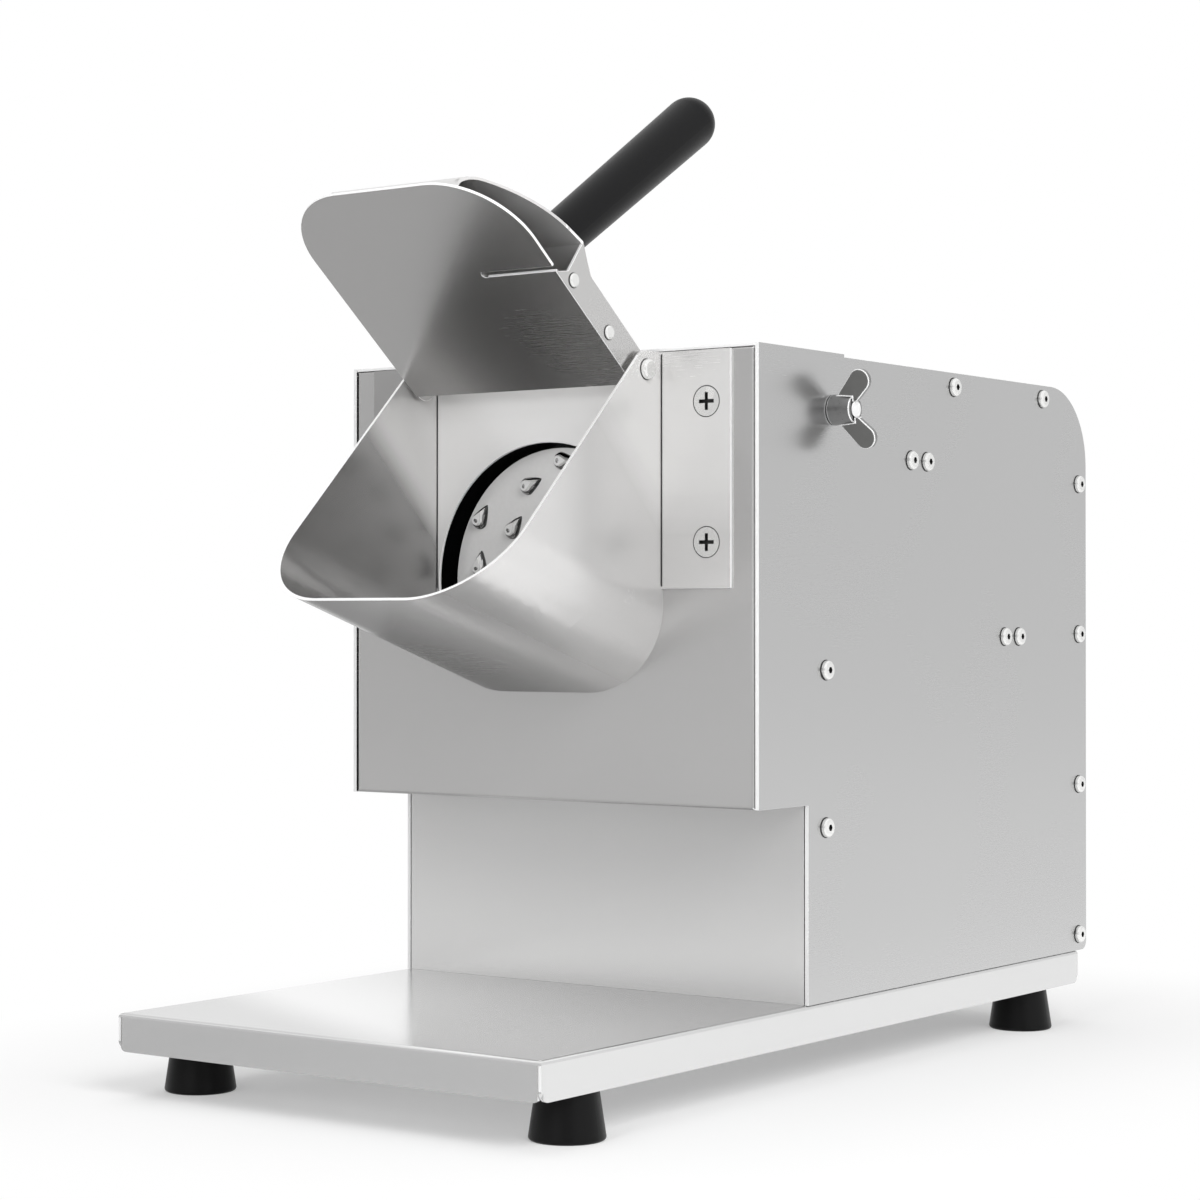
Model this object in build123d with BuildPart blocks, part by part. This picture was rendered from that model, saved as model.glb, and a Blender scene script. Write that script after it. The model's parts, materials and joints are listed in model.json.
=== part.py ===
from build123d import *
from math import cos, radians, sin
import os

# Electric cheese grater, in millimetres.
# +Z is up, the feed chute looks along -Y and +X is the operator's right.
# The origin is on the table, under the middle of the whole machine.

# Sheet metal
sheet_t = 1.5
panel_t = 2.0
bracket_t = 2.5
front_gap = 0.6
hole_play = 0.1
loose_gap = 0.3

# Base tray and feet
base_w = 250.0
base_d = 496.0
base_flange = 18.0
base_bend_r = 2.0
flange_corner_r = 5.0
seam_w = 0.4
relief_r = 1.5
foot_h = 22.0
foot_bottom_r = 17.3
foot_top_r = 14.0
foot_edge_r = 1.5
foot_inset_x = 15.5
foot_inset_y = 39.0
foot_pocket_r = 7.5
foot_pocket_h = 11.0
foot_lip_w = 34.0
foot_lip_margin = 16.0

# Housing and head
head_set_back = 167.8
head_depth = 43.7
under_head = 96.0
head_h = 219.0
rear_overhang = 10.5
rear_top_r = 42.0
rear_bottom_r = 5.0
cover_tab_d = 16.0
cover_tab_margin = 12.0
cover_lap = 12.0
cover_lap_in = 3.0
cover_foot_d = 24.0
panel_foot_w = 15.0
panel_foot_margin = 26.0
front_return_d = 12.0
front_side_d = 28.0
front_bend_r = 1.6
ear_front = 17.0
ear_rear = 8.0
ear_step = 10.0
ear_h = 46.0
ear_corner_r = 8.0
recess_side_d = 24.0
recess_side_gap = 9.0
recess_foot_d = 20.0
recess_foot_in = 25.0
recess_top_gap = 4.0

# Air slots in the rear cover
air_slot_l = 52.0
air_slot_w = 5.0
air_slot_pitch_x = 66.0
air_slot_pitch_z = 13.0
air_slot_columns = 2
air_slot_rows = 8

# Feed chute
chute_w = 141.0
chute_floor_up = 53.4
chute_corner_r = 44.0
chute_slope = 17.5
chute_rim_slope = 44.0
chute_top_gap = 2.0
chute_flange_w = 39.5
chute_flange_h = 113.0
chute_screw_in = 13.5
chute_screw_down = 24.5
chute_screw_pitch = 66.7
chute_reach = 190.0

# Grating disc and its drive
disc_down = 110.0
disc_r = 65.5
hole_gap = 2.0
disc_t = 2.0
disc_back = 12.0
tooth_rings = ((44.5, 100.0), (26.5, 140.0), (14.5, 113.0), (6.5, 149.0))
teeth_per_ring = 6
tooth_r = 4.2
tooth_l = 8.4
tooth_h = 3.8
tooth_wall = 0.8
tooth_taper = 24.0
tooth_mouth = 1.4
hub_wall = 12.0
hub_l = 17.0
shaft_r = 8.0
shaft_fit = 0.05
centre_bolt_r = 4.0
centre_bolt_l = 16.0
centre_head_r = 9.0
centre_head_h = 5.0
seal_h = 4.0
seal_neck_wall = 6.0
seal_lip = 4.0
shroud_gap = 8.5
shroud_leg_gap = 4.0

# Motor
motor_r = 64.0
motor_wall = 6.0
motor_rear_gap = 31.0
shield_t = 9.0
shield_bore_gap = 3.0
air_gap = 0.6
rotor_r = 36.0
core_end_gap = 37.5
winding_l = 14.0
winding_gap = 10.0
winding_in = 4.0
bearing_r = 20.0
bearing_w = 12.0
bearing_seat_wall = 5.0
shaft_step = 2.0
fan_margin = 14.0
fan_l = 18.0
fan_hub_r = 14.0
fan_blades = 8
fan_blade_t = 2.0
fan_gap = 4.0
fan_cover_l = 38.0
fan_hole_r = 4.0
rib_count = 24
rib_h = 3.0
rib_w = 2.0
motor_bolt_in = 12.0
motor_bolt_r = 3.0
motor_bolt_head_r = 5.5
motor_bolt_head_h = 4.0
motor_foot_w = 64.0
motor_foot_l = 18.4
motor_foot_h = 9.0
terminal_box_l = 60.0
terminal_box_h = 44.0
terminal_box_out = 26.0
terminal_box_y = 60.0

# Hinge of the pusher
tab_r = 9.0
pin_front = 13.8
pin_r = 3.0
pin_fit = 0.05
pin_head_r = 4.8
pin_head_h = 3.0
pin_nut_r = 5.0
pin_nut_h = 4.0

# Pusher, measured along the plate from the hinge and square to the plate
pusher_open = 38.2
pusher_gap = 2.5
pusher_l = 137.0
pusher_tip_r = 40.0
back_tip_r = 56.0
plate_drop = 9.1
strip_d = 17.0
strip_kink_back = 14.0
slot_at = 77.0
slot_w = 3.0
slot_l = 40.5
slot_end_r = 1.8
fold_back = 7.0
fold_rise = 25.5
tip_flange_in = 6.5
tip_flange_rise = 13.5
tip_bend_r = 8.0
back_end_at = 10.0
back_end_rise = 4.2
rivet_ats = (29.3, 64.5)
rivet_rise = 6.0
rivet_r = 2.0
rivet_head_r = 3.4
rivet_head_h = 1.3
rivet_tail_r = 2.8
tab_from = 20.0
tab_low = 2.0

# Handle
handle_at = 47.0
stem_r = 7.0
stem_in_grip = 14.0
stem_foot_r = 12.0
stem_foot_h = 5.0
handle_bolt_r = 4.0
handle_bolt_l = 22.0
handle_bolt_head_r = 6.5
handle_bolt_head_h = 4.5
grip_from = 62.0
grip_l = 154.0
grip_root_r = 12.2
grip_end_r = 14.0
grip_root_fillet = 3.0

# Screws and nuts
screw_r = 2.5
button_r = 4.7
button_h = 2.7
button_dome_r = 1.4
hex_af = 3.0
hex_depth = 1.6
side_row_in = 9.6
rear_screw_up = 9.0
rear_screw_down = 54.0
rear_screw_count = 4
top_screw_ins = (152.2, 53.2)
top_screw_down = 9.0
front_screw_ups = (84.5, 160.7)
front_screw_in = 16.0
pair_pitch = 16.0
side_screw_l = 8.0
wing_in = 21.8
wing_down = 28.0
wing_thread_r = 4.0
wing_stud_past_hub = 1.0
wing_plate_r = 9.0
wing_plate_t = 3.0
wing_hub_r = 6.6
wing_hub_h = 12.0
wing_span = 39.0
wing_rise = 22.0
wing_tip_r = 5.6
wing_root_r = 3.0
wing_t = 3.0
wing_turn = 102.0
csk_r = 7.3
csk_thread_r = 4.0
csk_nut_r = 7.5
csk_nut_h = 6.0
cross_w = 1.8
cross_l = 8.4
cross_depth = 2.2
foot_screw_r = 3.0
foot_screw_head_r = 6.0
foot_screw_head_h = 4.0
foot_nut_r = 5.8
foot_nut_h = 5.0

# Braces between the side panels
brace_back = 150.0
brace_down = 49.0
brace_w = 34.0
brace_top_up = 22.0
brace_leg_down = 12.0
cradle_screw_up = 44.0
cradle_leg_up = 12.0

# Switch, cable gland and capacitor
switch_back = 118.0
switch_up = 68.0
switch_w = 44.0
switch_h = 72.0
switch_bezel = 4.0
switch_bezel_edge = 4.0
switch_depth = 44.0
cap_r = 10.5
cap_out = 4.5
cap_l = 21.0
cap_gap = 0.4
cap_travel = 3.0
cap_pitch = 32.0
cap_edge_r = 1.2
gland_reach = 21.5
gland_thread_r = 8.0
gland_hex_r = 12.0
gland_hex_h = 6.0
gland_cap_r = 10.5
gland_cap_end_r = 8.0
gland_bore_r = 4.25
gland_inside = 9.0
gland_nut_h = 4.0
gland_x = -78.0
gland_up = 34.0
capacitor_r = 20.0
capacitor_l = 92.0
capacitor_in = 67.0
capacitor_in_rear = 118.7
clip_w = 16.0
clip_foot = 12.0

# Places that follow from the sizes above
overall_d = base_d + rear_overhang + gland_reach
base_front = -overall_d / 2
base_rear = base_front + base_d
base_y = (base_front + base_rear) / 2
base_top = foot_h + base_flange
base_under = base_top - sheet_t
half_w = base_w / 2
inner_half_w = half_w - panel_t
front_half_w = inner_half_w - front_gap
housing_h = under_head + head_h
head_bottom = base_top + under_head
head_top = base_top + housing_h
rear_top = head_top - sheet_t
face_y = base_front + head_set_back
recess_y = face_y + head_depth
recess_back_y = recess_y + sheet_t
wing_y = recess_back_y + wing_in
step_y = wing_y + ear_step
rear_y = base_rear + rear_overhang
disc_z = head_top - disc_down
disc_y = face_y + disc_back
chute_top = head_top - chute_top_gap
chute_floor = head_bottom + chute_floor_up
pin_y = face_y - pin_front
pin_z = chute_top - tab_r
wing_z = head_top - wing_down
gland_z = base_top + gland_up
switch_y = face_y + switch_back
switch_z = base_top + switch_up
hole_r = disc_r + hole_gap
shroud_r = disc_r + shroud_gap
motor_front = recess_back_y
frame_front = motor_front + shield_t
fan_cover_rear = rear_y - sheet_t - motor_rear_gap
frame_rear = fan_cover_rear - fan_cover_l - shield_t
motor_l = frame_rear - frame_front
core_l = motor_l - 2 * core_end_gap
motor_foot_y = frame_rear - motor_foot_l / 2
cradle_top = disc_z - motor_r - motor_foot_h
cradle_y = motor_foot_y
cradle_screw_z = cradle_top + cradle_screw_up
brace_y = face_y + brace_back
brace_z = head_top - brace_down
pusher_w = chute_w - 2 * (sheet_t + pusher_gap)
fold_at = slot_at - fold_back
strip_kink = fold_at - strip_kink_back
tip_flange_at = pusher_l - tip_flange_in
stem_l = grip_from + stem_in_grip
rotor_shaft_r = shaft_r + shaft_step
capacitor_x = half_w - capacitor_in
LOW = (Align.CENTER, Align.CENTER, Align.MIN)
HIGH = (Align.CENTER, Align.CENTER, Align.MAX)

os.makedirs("parts", exist_ok=True)


def face_plane(y):
    """Upright plane across the machine: local x and y are X and Z, the normal looks to the front."""
    return Plane.XZ.offset(-y)


def side_plane(x):
    """Upright plane along the machine: local x and y are Y and Z, the normal looks to the right."""
    return Plane.YZ.offset(x)


def facing_front(x, y, z):
    """Place whose local Z points to the front."""
    return Plane(origin=(x, y, z), x_dir=(1, 0, 0), z_dir=(0, -1, 0)).location


def facing_rear(x, y, z):
    """Place whose local Z points to the rear."""
    return Plane(origin=(x, y, z), x_dir=(-1, 0, 0), z_dir=(0, 1, 0)).location


def facing_out(side, x, y, z):
    """Place whose local Z points out of the left (-1) or the right (+1) side."""
    return Plane(origin=(x, y, z), x_dir=(0, side, 0), z_dir=(side, 0, 0)).location


def save(builder, name):
    """Label a finished piece and write it to a file of its own."""
    builder.part.label = name
    export_step(builder.part, f"parts/{name}.step")


# Base tray: one folded sheet with four flanges and two lips for the feet
foot_places = [
    (sx * (half_w - foot_inset_x), base_y + sy * (base_d / 2 - foot_inset_y))
    for sx in (-1, 1)
    for sy in (-1, 1)
]
panel_foot_ends = (recess_y + panel_foot_margin, base_rear - panel_foot_margin)
panel_foot_l = panel_foot_ends[1] - panel_foot_ends[0]
floor_screw_places = [
    (sx * (inner_half_w - panel_foot_w / 2), panel_foot_ends[0] + share * panel_foot_l)
    for sx in (-1, 1)
    for share in (0.1, 0.5, 0.9)
]
floor_screw_places += [(sx * half_w / 2, recess_back_y + recess_foot_d / 2) for sx in (-1, 1)]


def corner_waste(plane, corner, inward):
    """What a rounded flange corner leaves out: its corner point and the way in, on the plane."""
    with BuildSketch(plane) as waste:
        with Locations(tuple(c + s * flange_corner_r / 2 for c, s in zip(corner, inward))):
            Rectangle(flange_corner_r, flange_corner_r)
        with Locations(tuple(c + s * flange_corner_r for c, s in zip(corner, inward))):
            Circle(flange_corner_r, mode=Mode.SUBTRACT)
    return waste.sketch


flange_wastes = []
for sx in (-1, 1):
    for sy in (-1, 1):
        end_y = base_y + sy * base_d / 2
        flange_wastes.append((corner_waste(face_plane(end_y), (sx * half_w, foot_h), (-sx, 1)), sy))
        flange_wastes.append((corner_waste(side_plane(sx * half_w), (end_y, foot_h), (-sy, 1)), -sx))

with BuildPart() as base_tray:
    with Locations((0, base_y, foot_h)):
        Box(base_w, base_d, base_flange, align=LOW)
        Box(base_w - 2 * sheet_t, base_d - 2 * sheet_t, base_flange - sheet_t, align=LOW, mode=Mode.SUBTRACT)
    fillet(base_tray.faces().sort_by(Axis.Z)[-1].edges(), base_bend_r)
    for side in (-1, 1):
        with Locations((side * (half_w - sheet_t - foot_lip_w / 2), base_y, foot_h)):
            Box(foot_lip_w, base_d - 2 * foot_lip_margin, sheet_t, align=LOW)
        for end in (-1, 1):
            end_y = base_y + end * base_d / 2
            with Locations((side * (half_w - sheet_t - seam_w / 2), end_y - end * sheet_t / 2, foot_h)):
                Box(seam_w, sheet_t, base_flange - base_bend_r, align=LOW, mode=Mode.SUBTRACT)
            with Locations((side * (half_w - relief_r), end_y - end * relief_r, base_top)):
                Cylinder(relief_r / 2, 2 * base_bend_r, align=HIGH, mode=Mode.SUBTRACT)
    for waste, way in flange_wastes:
        extrude(to_extrude=waste, amount=way * sheet_t, mode=Mode.SUBTRACT)
    with Locations(*[(x, y, foot_h) for x, y in foot_places]):
        Cylinder(foot_screw_r + hole_play, sheet_t, align=LOW, mode=Mode.SUBTRACT)
    with Locations(*[(x, y, base_top) for x, y in floor_screw_places]):
        Cylinder(screw_r + hole_play, sheet_t, align=HIGH, mode=Mode.SUBTRACT)
save(base_tray, "base_tray")

# Rubber feet with a pocket for the screw head, and their screws and nuts
for (foot_x, foot_y), name in zip(foot_places, ("front_left", "rear_left", "front_right", "rear_right")):
    with BuildPart() as foot:
        with Locations((foot_x, foot_y, 0)):
            Cone(foot_bottom_r, foot_top_r, foot_h, align=LOW)
            fillet(foot.faces().sort_by(Axis.Z)[0].edges(), foot_edge_r)
            Cylinder(foot_screw_r + hole_play, foot_h, align=LOW, mode=Mode.SUBTRACT)
            Cylinder(foot_pocket_r, foot_pocket_h, align=LOW, mode=Mode.SUBTRACT)
    save(foot, f"foot_{name}")

with BuildPart() as foot_screws:
    with Locations(*[(x, y, foot_pocket_h) for x, y in foot_places]):
        Cylinder(foot_screw_head_r, foot_screw_head_h, align=HIGH)
        Cylinder(foot_screw_r, foot_h + sheet_t + foot_nut_h - foot_pocket_h, align=LOW)
save(foot_screws, "foot_screws")

with BuildPart() as foot_nut:
    with BuildSketch():
        RegularPolygon(foot_nut_r, 6)
        Circle(foot_screw_r, mode=Mode.SUBTRACT)
    extrude(amount=foot_nut_h)

with BuildPart() as foot_nuts:
    with Locations(*[(x, y, foot_h + sheet_t) for x, y in foot_places]):
        add(foot_nut.part)
save(foot_nuts, "foot_nuts")

# Side panels: one flat sheet each, cut back under the head
rear_screw_pitch = (housing_h - rear_screw_up - rear_screw_down) / (rear_screw_count - 1)
rear_screw_places = [
    (rear_y - side_row_in, base_top + rear_screw_up + rear_screw_pitch * step)
    for step in range(rear_screw_count)
]
top_screw_places = [(rear_y - ahead, head_top - top_screw_down) for ahead in top_screw_ins]
front_screw_places = [(recess_y + front_screw_in, base_top + up) for up in front_screw_ups]
brace_screw_places = [
    (y + way * pair_pitch / 2, z)
    for y, z in ((brace_y, brace_z), (cradle_y, cradle_screw_z))
    for way in (-1, 1)
]
side_screw_places = rear_screw_places + top_screw_places + front_screw_places + brace_screw_places


def side_panel(side):
    """One side panel with its turned-in foot; the left one has the switch opening."""
    with BuildPart() as panel:
        with BuildSketch(side_plane(side * half_w)) as outline:
            with BuildLine():
                Polyline(
                    (rear_y, base_top),
                    (recess_y, base_top),
                    (recess_y, head_bottom),
                    (face_y, head_bottom),
                    (face_y, head_top),
                    (step_y, head_top),
                    (step_y, rear_top),
                    (rear_y, rear_top),
                    close=True,
                )
            make_face()
            fillet(outline.vertices().group_by(Axis.X)[-1].sort_by(Axis.Y)[-1], rear_top_r)
            fillet(outline.vertices().group_by(Axis.X)[-1].sort_by(Axis.Y)[0], rear_bottom_r)
        extrude(amount=-side * panel_t)
        foot_x = side * (inner_half_w - panel_foot_w / 2)
        with Locations((foot_x, (panel_foot_ends[0] + panel_foot_ends[1]) / 2, base_top)):
            Box(panel_foot_w, panel_foot_l, panel_t, align=LOW)
        with Locations(*[facing_out(side, side * half_w, y, z) for y, z in side_screw_places]):
            Cylinder(screw_r + hole_play, panel_t, align=HIGH, mode=Mode.SUBTRACT)
        with Locations(facing_out(side, side * half_w, wing_y, wing_z)):
            Cylinder(wing_thread_r + hole_play, panel_t, align=HIGH, mode=Mode.SUBTRACT)
        with Locations(*[(x, y, base_top) for x, y in floor_screw_places]):
            Cylinder(screw_r + hole_play, panel_t, align=LOW, mode=Mode.SUBTRACT)
        if side < 0:
            with Locations((side * half_w, switch_y, switch_z)):
                body_w = switch_w - 2 * switch_bezel_edge
                body_h = switch_h - 2 * switch_bezel_edge
                Box(2 * panel_t, body_w, body_h, mode=Mode.SUBTRACT)
    return panel


for side, name in ((-1, "left"), (1, "right")):
    save(side_panel(side), f"side_panel_{name}")


# Rear cover: top, back and foot in one bent sheet, with tabs for the side screws
def wrap_region(inset):
    """Side view of the closed housing behind the head, drawn in by an inset."""
    front = step_y - cover_lap - inset
    with BuildSketch(side_plane(0)) as region:
        with Locations((front, base_top + inset)):
            Rectangle(rear_y - inset - front, rear_top - base_top - 2 * inset, align=(Align.MIN, Align.MIN))
        fillet(region.vertices().group_by(Axis.X)[-1].sort_by(Axis.Y)[-1], rear_top_r - inset)
        fillet(region.vertices().group_by(Axis.X)[-1].sort_by(Axis.Y)[0], rear_bottom_r - inset)
    return region.sketch


wrap_outside = wrap_region(0)
wrap_inside = wrap_region(sheet_t)
cover_foot_y = rear_y - cover_foot_d
top_tab_y = (step_y + cover_tab_margin, rear_y - rear_top_r)
rear_tab_z = (base_top + 2 * sheet_t, rear_top - rear_top_r)

with BuildPart() as rear_cover:
    extrude(to_extrude=wrap_outside, amount=inner_half_w, both=True)
    extrude(to_extrude=wrap_inside, amount=inner_half_w, both=True, mode=Mode.SUBTRACT)
    with Locations((0, cover_foot_y, base_top)):
        Box(
            base_w,
            base_d,
            2 * sheet_t,
            align=(Align.CENTER, Align.MAX, Align.CENTER),
            mode=Mode.SUBTRACT,
        )
    for side in (-1, 1):
        with Locations((side * inner_half_w, step_y, rear_top)):
            Box(2 * cover_lap_in, 2 * cover_lap, 2 * sheet_t, mode=Mode.SUBTRACT)
        tab_x = side * (inner_half_w - sheet_t / 2)
        with Locations((tab_x, sum(top_tab_y) / 2, rear_top - sheet_t)):
            Box(sheet_t, top_tab_y[1] - top_tab_y[0], cover_tab_d - sheet_t, align=HIGH)
        with Locations((tab_x, rear_y - (cover_tab_d + sheet_t) / 2, rear_tab_z[0])):
            Box(sheet_t, cover_tab_d - sheet_t, rear_tab_z[1] - rear_tab_z[0], align=LOW)
        tab_screws = rear_screw_places + top_screw_places
        with Locations(*[facing_out(side, side * inner_half_w, y, z) for y, z in tab_screws]):
            Cylinder(screw_r + hole_play, sheet_t, align=HIGH, mode=Mode.SUBTRACT)
    with BuildSketch(face_plane(rear_y)):
        with Locations((0, disc_z)):
            with GridLocations(air_slot_pitch_x, air_slot_pitch_z, air_slot_columns, air_slot_rows):
                SlotOverall(air_slot_l, air_slot_w)
    extrude(amount=sheet_t, mode=Mode.SUBTRACT)
    with Locations(facing_rear(gland_x, rear_y, gland_z)):
        Cylinder(gland_thread_r + hole_play, sheet_t, align=HIGH, mode=Mode.SUBTRACT)
save(rear_cover, "rear_cover")

# Head top cover with an ear on each side that takes the wing stud
with BuildPart() as head_top_cover:
    with Locations((0, (face_y + step_y) / 2, rear_top)):
        Box(2 * inner_half_w, step_y - face_y, sheet_t, align=LOW)
    for side in (-1, 1):
        with BuildSketch(side_plane(side * inner_half_w)) as ear:
            with Locations((wing_y - ear_front, head_top - ear_h)):
                Rectangle(ear_front + ear_rear, ear_h - sheet_t, align=(Align.MIN, Align.MIN))
            fillet(ear.vertices().group_by(Axis.Y)[0], ear_corner_r)
        extrude(amount=-side * sheet_t)
        with Locations(facing_out(side, side * inner_half_w, wing_y, wing_z)):
            Cylinder(wing_thread_r + hole_play, sheet_t, align=HIGH, mode=Mode.SUBTRACT)
save(head_top_cover, "head_top_cover")

# U outline of the feed channel where it meets the head
def trough_region(inset):
    """U shape of the channel in the plane of the head's face, drawn in by an inset."""
    floor_z = chute_floor + inset / cos(radians(chute_slope))
    with BuildSketch(face_plane(face_y)) as trough:
        with Locations((0, floor_z)):
            Rectangle(chute_w - 2 * inset, housing_h, align=(Align.CENTER, Align.MIN))
        fillet(trough.vertices().group_by(Axis.Y)[0], chute_corner_r - inset)
    return trough.sketch


channel_outside = trough_region(0)
channel_inside = trough_region(sheet_t)

# Head front panel: a shallow pan with the feed hole
chute_screw_places = [
    (side * (chute_w / 2 + chute_flange_w - chute_screw_in), chute_top - chute_screw_down - drop)
    for side in (-1, 1)
    for drop in (0, chute_screw_pitch)
]
front_h = rear_top - head_bottom
with BuildSketch(face_plane(face_y)) as feed_hole:
    with Locations((0, disc_z)):
        Circle(hole_r)
    add(channel_inside, mode=Mode.INTERSECT)

with BuildPart() as head_front_panel:
    with Locations((0, face_y, head_bottom)):
        Box(2 * front_half_w, front_side_d, front_h, align=(Align.CENTER, Align.MIN, Align.MIN))
    fillet(head_front_panel.faces().sort_by(Axis.Y)[0].edges(), front_bend_r)
    with Locations((0, face_y + sheet_t, head_bottom + sheet_t)):
        Box(
            2 * (front_half_w - sheet_t),
            front_side_d,
            front_h - 2 * sheet_t,
            align=(Align.CENTER, Align.MIN, Align.MIN),
            mode=Mode.SUBTRACT,
        )
    # The returns at the top and bottom are narrower than those at the sides.
    with Locations((0, face_y + front_return_d, head_bottom)):
        Box(
            2 * (front_half_w - sheet_t),
            front_side_d,
            front_h,
            align=(Align.CENTER, Align.MIN, Align.MIN),
            mode=Mode.SUBTRACT,
        )
    # The round feed hole is cut off straight along the chute's floor.
    extrude(to_extrude=feed_hole.sketch, amount=-sheet_t, mode=Mode.SUBTRACT)
    with Locations(*[facing_front(x, face_y, z) for x, z in chute_screw_places]):
        Cone(csk_r - 2 * sheet_t + hole_play, csk_r - sheet_t + hole_play, sheet_t, align=HIGH, mode=Mode.SUBTRACT)
save(head_front_panel, "head_front_panel")

# Recess panel: the wall under the head that runs on up behind the grating disc
motor_bolt_ring = motor_r - motor_bolt_in
motor_bolt_places = [
    (motor_bolt_ring * cos(radians(a)), disc_z + motor_bolt_ring * sin(radians(a)))
    for a in (45, 135, 225, 315)
]
recess_side_h = housing_h - ear_h - recess_side_gap
seal_neck_r = shaft_r + seal_neck_wall
with BuildPart() as recess_panel:
    with Locations((0, recess_y, base_top)):
        Box(
            2 * front_half_w,
            sheet_t,
            rear_top - base_top - recess_top_gap,
            align=(Align.CENTER, Align.MIN, Align.MIN),
        )
    for side in (-1, 1):
        with Locations((side * (front_half_w - sheet_t / 2), recess_back_y, base_top)):
            Box(sheet_t, recess_side_d, recess_side_h, align=(Align.CENTER, Align.MIN, Align.MIN))
        with Locations(*[facing_out(side, side * front_half_w, y, z) for y, z in front_screw_places]):
            Cylinder(screw_r + hole_play, sheet_t, align=HIGH, mode=Mode.SUBTRACT)
    with Locations((0, recess_back_y, base_top)):
        Box(base_w - 2 * recess_foot_in, recess_foot_d, sheet_t, align=(Align.CENTER, Align.MIN, Align.MIN))
    with Locations(*[(x, y, base_top) for x, y in floor_screw_places]):
        Cylinder(screw_r + hole_play, sheet_t, align=LOW, mode=Mode.SUBTRACT)
    with Locations(facing_front(0, recess_y, disc_z)):
        Cylinder(seal_neck_r, sheet_t, align=HIGH, mode=Mode.SUBTRACT)
    with Locations(*[facing_front(x, recess_y, z) for x, z in motor_bolt_places]):
        Cylinder(motor_bolt_r + hole_play, sheet_t, align=HIGH, mode=Mode.SUBTRACT)
save(recess_panel, "recess_panel")


# Chamber shroud: an arch round the disc, open below, that leads the gratings down
def arch_region(radius):
    """Arch with straight legs, in the plane of the recess panel."""
    with BuildSketch(face_plane(recess_y)) as arch:
        with Locations((0, disc_z)):
            Circle(radius)
            Rectangle(2 * radius, disc_z - head_bottom - shroud_leg_gap, align=(Align.CENTER, Align.MAX))
    return arch.sketch


shroud_outside = arch_region(shroud_r + sheet_t)
shroud_inside = arch_region(shroud_r)
shroud_l = head_depth - sheet_t - loose_gap
with BuildPart() as chamber_shroud:
    extrude(to_extrude=shroud_outside, amount=shroud_l)
    extrude(to_extrude=shroud_inside, amount=shroud_l, mode=Mode.SUBTRACT)
    with Locations((0, recess_y, head_bottom)):
        Box(2 * shroud_r, 2 * head_depth, 2 * (disc_z - head_bottom), mode=Mode.SUBTRACT)
save(chamber_shroud, "chamber_shroud")


# Feed chute: a U channel that rises to the front, cut off along the slanting rim
channel_way = Vector(0, -cos(radians(chute_slope)), sin(radians(chute_slope)))
rim_way = Vector(0, -cos(radians(chute_rim_slope)), -sin(radians(chute_rim_slope)))
tab_corner = (pin_y - tab_r * sin(radians(chute_rim_slope)), pin_z + tab_r * cos(radians(chute_rim_slope)))
rim_end = (tab_corner[0] + rim_way.Y * housing_h, tab_corner[1] + rim_way.Z * housing_h)

with BuildPart() as feed_chute:
    extrude(to_extrude=channel_outside, amount=chute_reach, dir=channel_way)
    extrude(to_extrude=channel_inside, amount=chute_reach, dir=channel_way, mode=Mode.SUBTRACT)
    with BuildSketch(side_plane(0)):
        with BuildLine():
            Polyline((pin_y, chute_top), (face_y, chute_top), (face_y, rim_end[1]), rim_end, tab_corner)
            CenterArc((pin_y, pin_z), tab_r, 90, chute_rim_slope)
        make_face()
    extrude(amount=chute_w, both=True, mode=Mode.INTERSECT)
    for side in (-1, 1):
        with Locations((side * chute_w / 2, face_y, chute_top)):
            flange_side = Align.MIN if side > 0 else Align.MAX
            Box(chute_flange_w, sheet_t, chute_flange_h, align=(flange_side, Align.MAX, Align.MAX))
    with Locations(*[facing_front(x, face_y - sheet_t, z) for x, z in chute_screw_places]):
        Cone(csk_r - sheet_t + hole_play, csk_r + hole_play, sheet_t, align=HIGH, mode=Mode.SUBTRACT)
    with Locations((0, pin_y, pin_z)):
        Cylinder(pin_r + hole_play, chute_w, rotation=(0, 90, 0), mode=Mode.SUBTRACT)
save(feed_chute, "feed_chute")

# Countersunk screws of the chute, with their nuts behind the front panel
csk_l = 2 * sheet_t + csk_nut_h + 2
with BuildPart() as csk_screw:
    Cone(csk_r - 2 * sheet_t, csk_r, 2 * sheet_t, align=HIGH)
    Cylinder(csk_thread_r, csk_l, align=HIGH)
    for turn in (0, 90):
        Box(cross_l, cross_w, cross_depth, rotation=(0, 0, turn), align=HIGH, mode=Mode.SUBTRACT)

with BuildPart() as chute_screws:
    with Locations(*[facing_front(x, face_y - sheet_t, z) for x, z in chute_screw_places]):
        add(csk_screw.part)
save(chute_screws, "chute_screws")

with BuildPart() as csk_nut:
    with BuildSketch():
        RegularPolygon(csk_nut_r, 6)
        Circle(csk_thread_r, mode=Mode.SUBTRACT)
    extrude(amount=-csk_nut_h)

with BuildPart() as chute_nuts:
    with Locations(*[facing_front(x, face_y + sheet_t, z) for x, z in chute_screw_places]):
        add(csk_nut.part)
save(chute_nuts, "chute_nuts")

# Button-head screws of the side panels, all of one size
with BuildPart() as button_screw:
    Cylinder(button_r, button_h, align=LOW)
    fillet(button_screw.faces().sort_by(Axis.Z)[-1].edges(), button_dome_r)
    Cylinder(screw_r, side_screw_l, align=HIGH)
    with BuildSketch(Plane.XY.offset(button_h)):
        RegularPolygon(hex_af / 2, 6, major_radius=False)
    extrude(amount=-hex_depth, mode=Mode.SUBTRACT)


def button_screws(places):
    """The button-head screws at these places on both sides."""
    with BuildPart() as screws:
        for side in (-1, 1):
            with Locations(*[facing_out(side, side * half_w, y, z) for y, z in places]):
                add(button_screw.part)
    return screws


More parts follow.
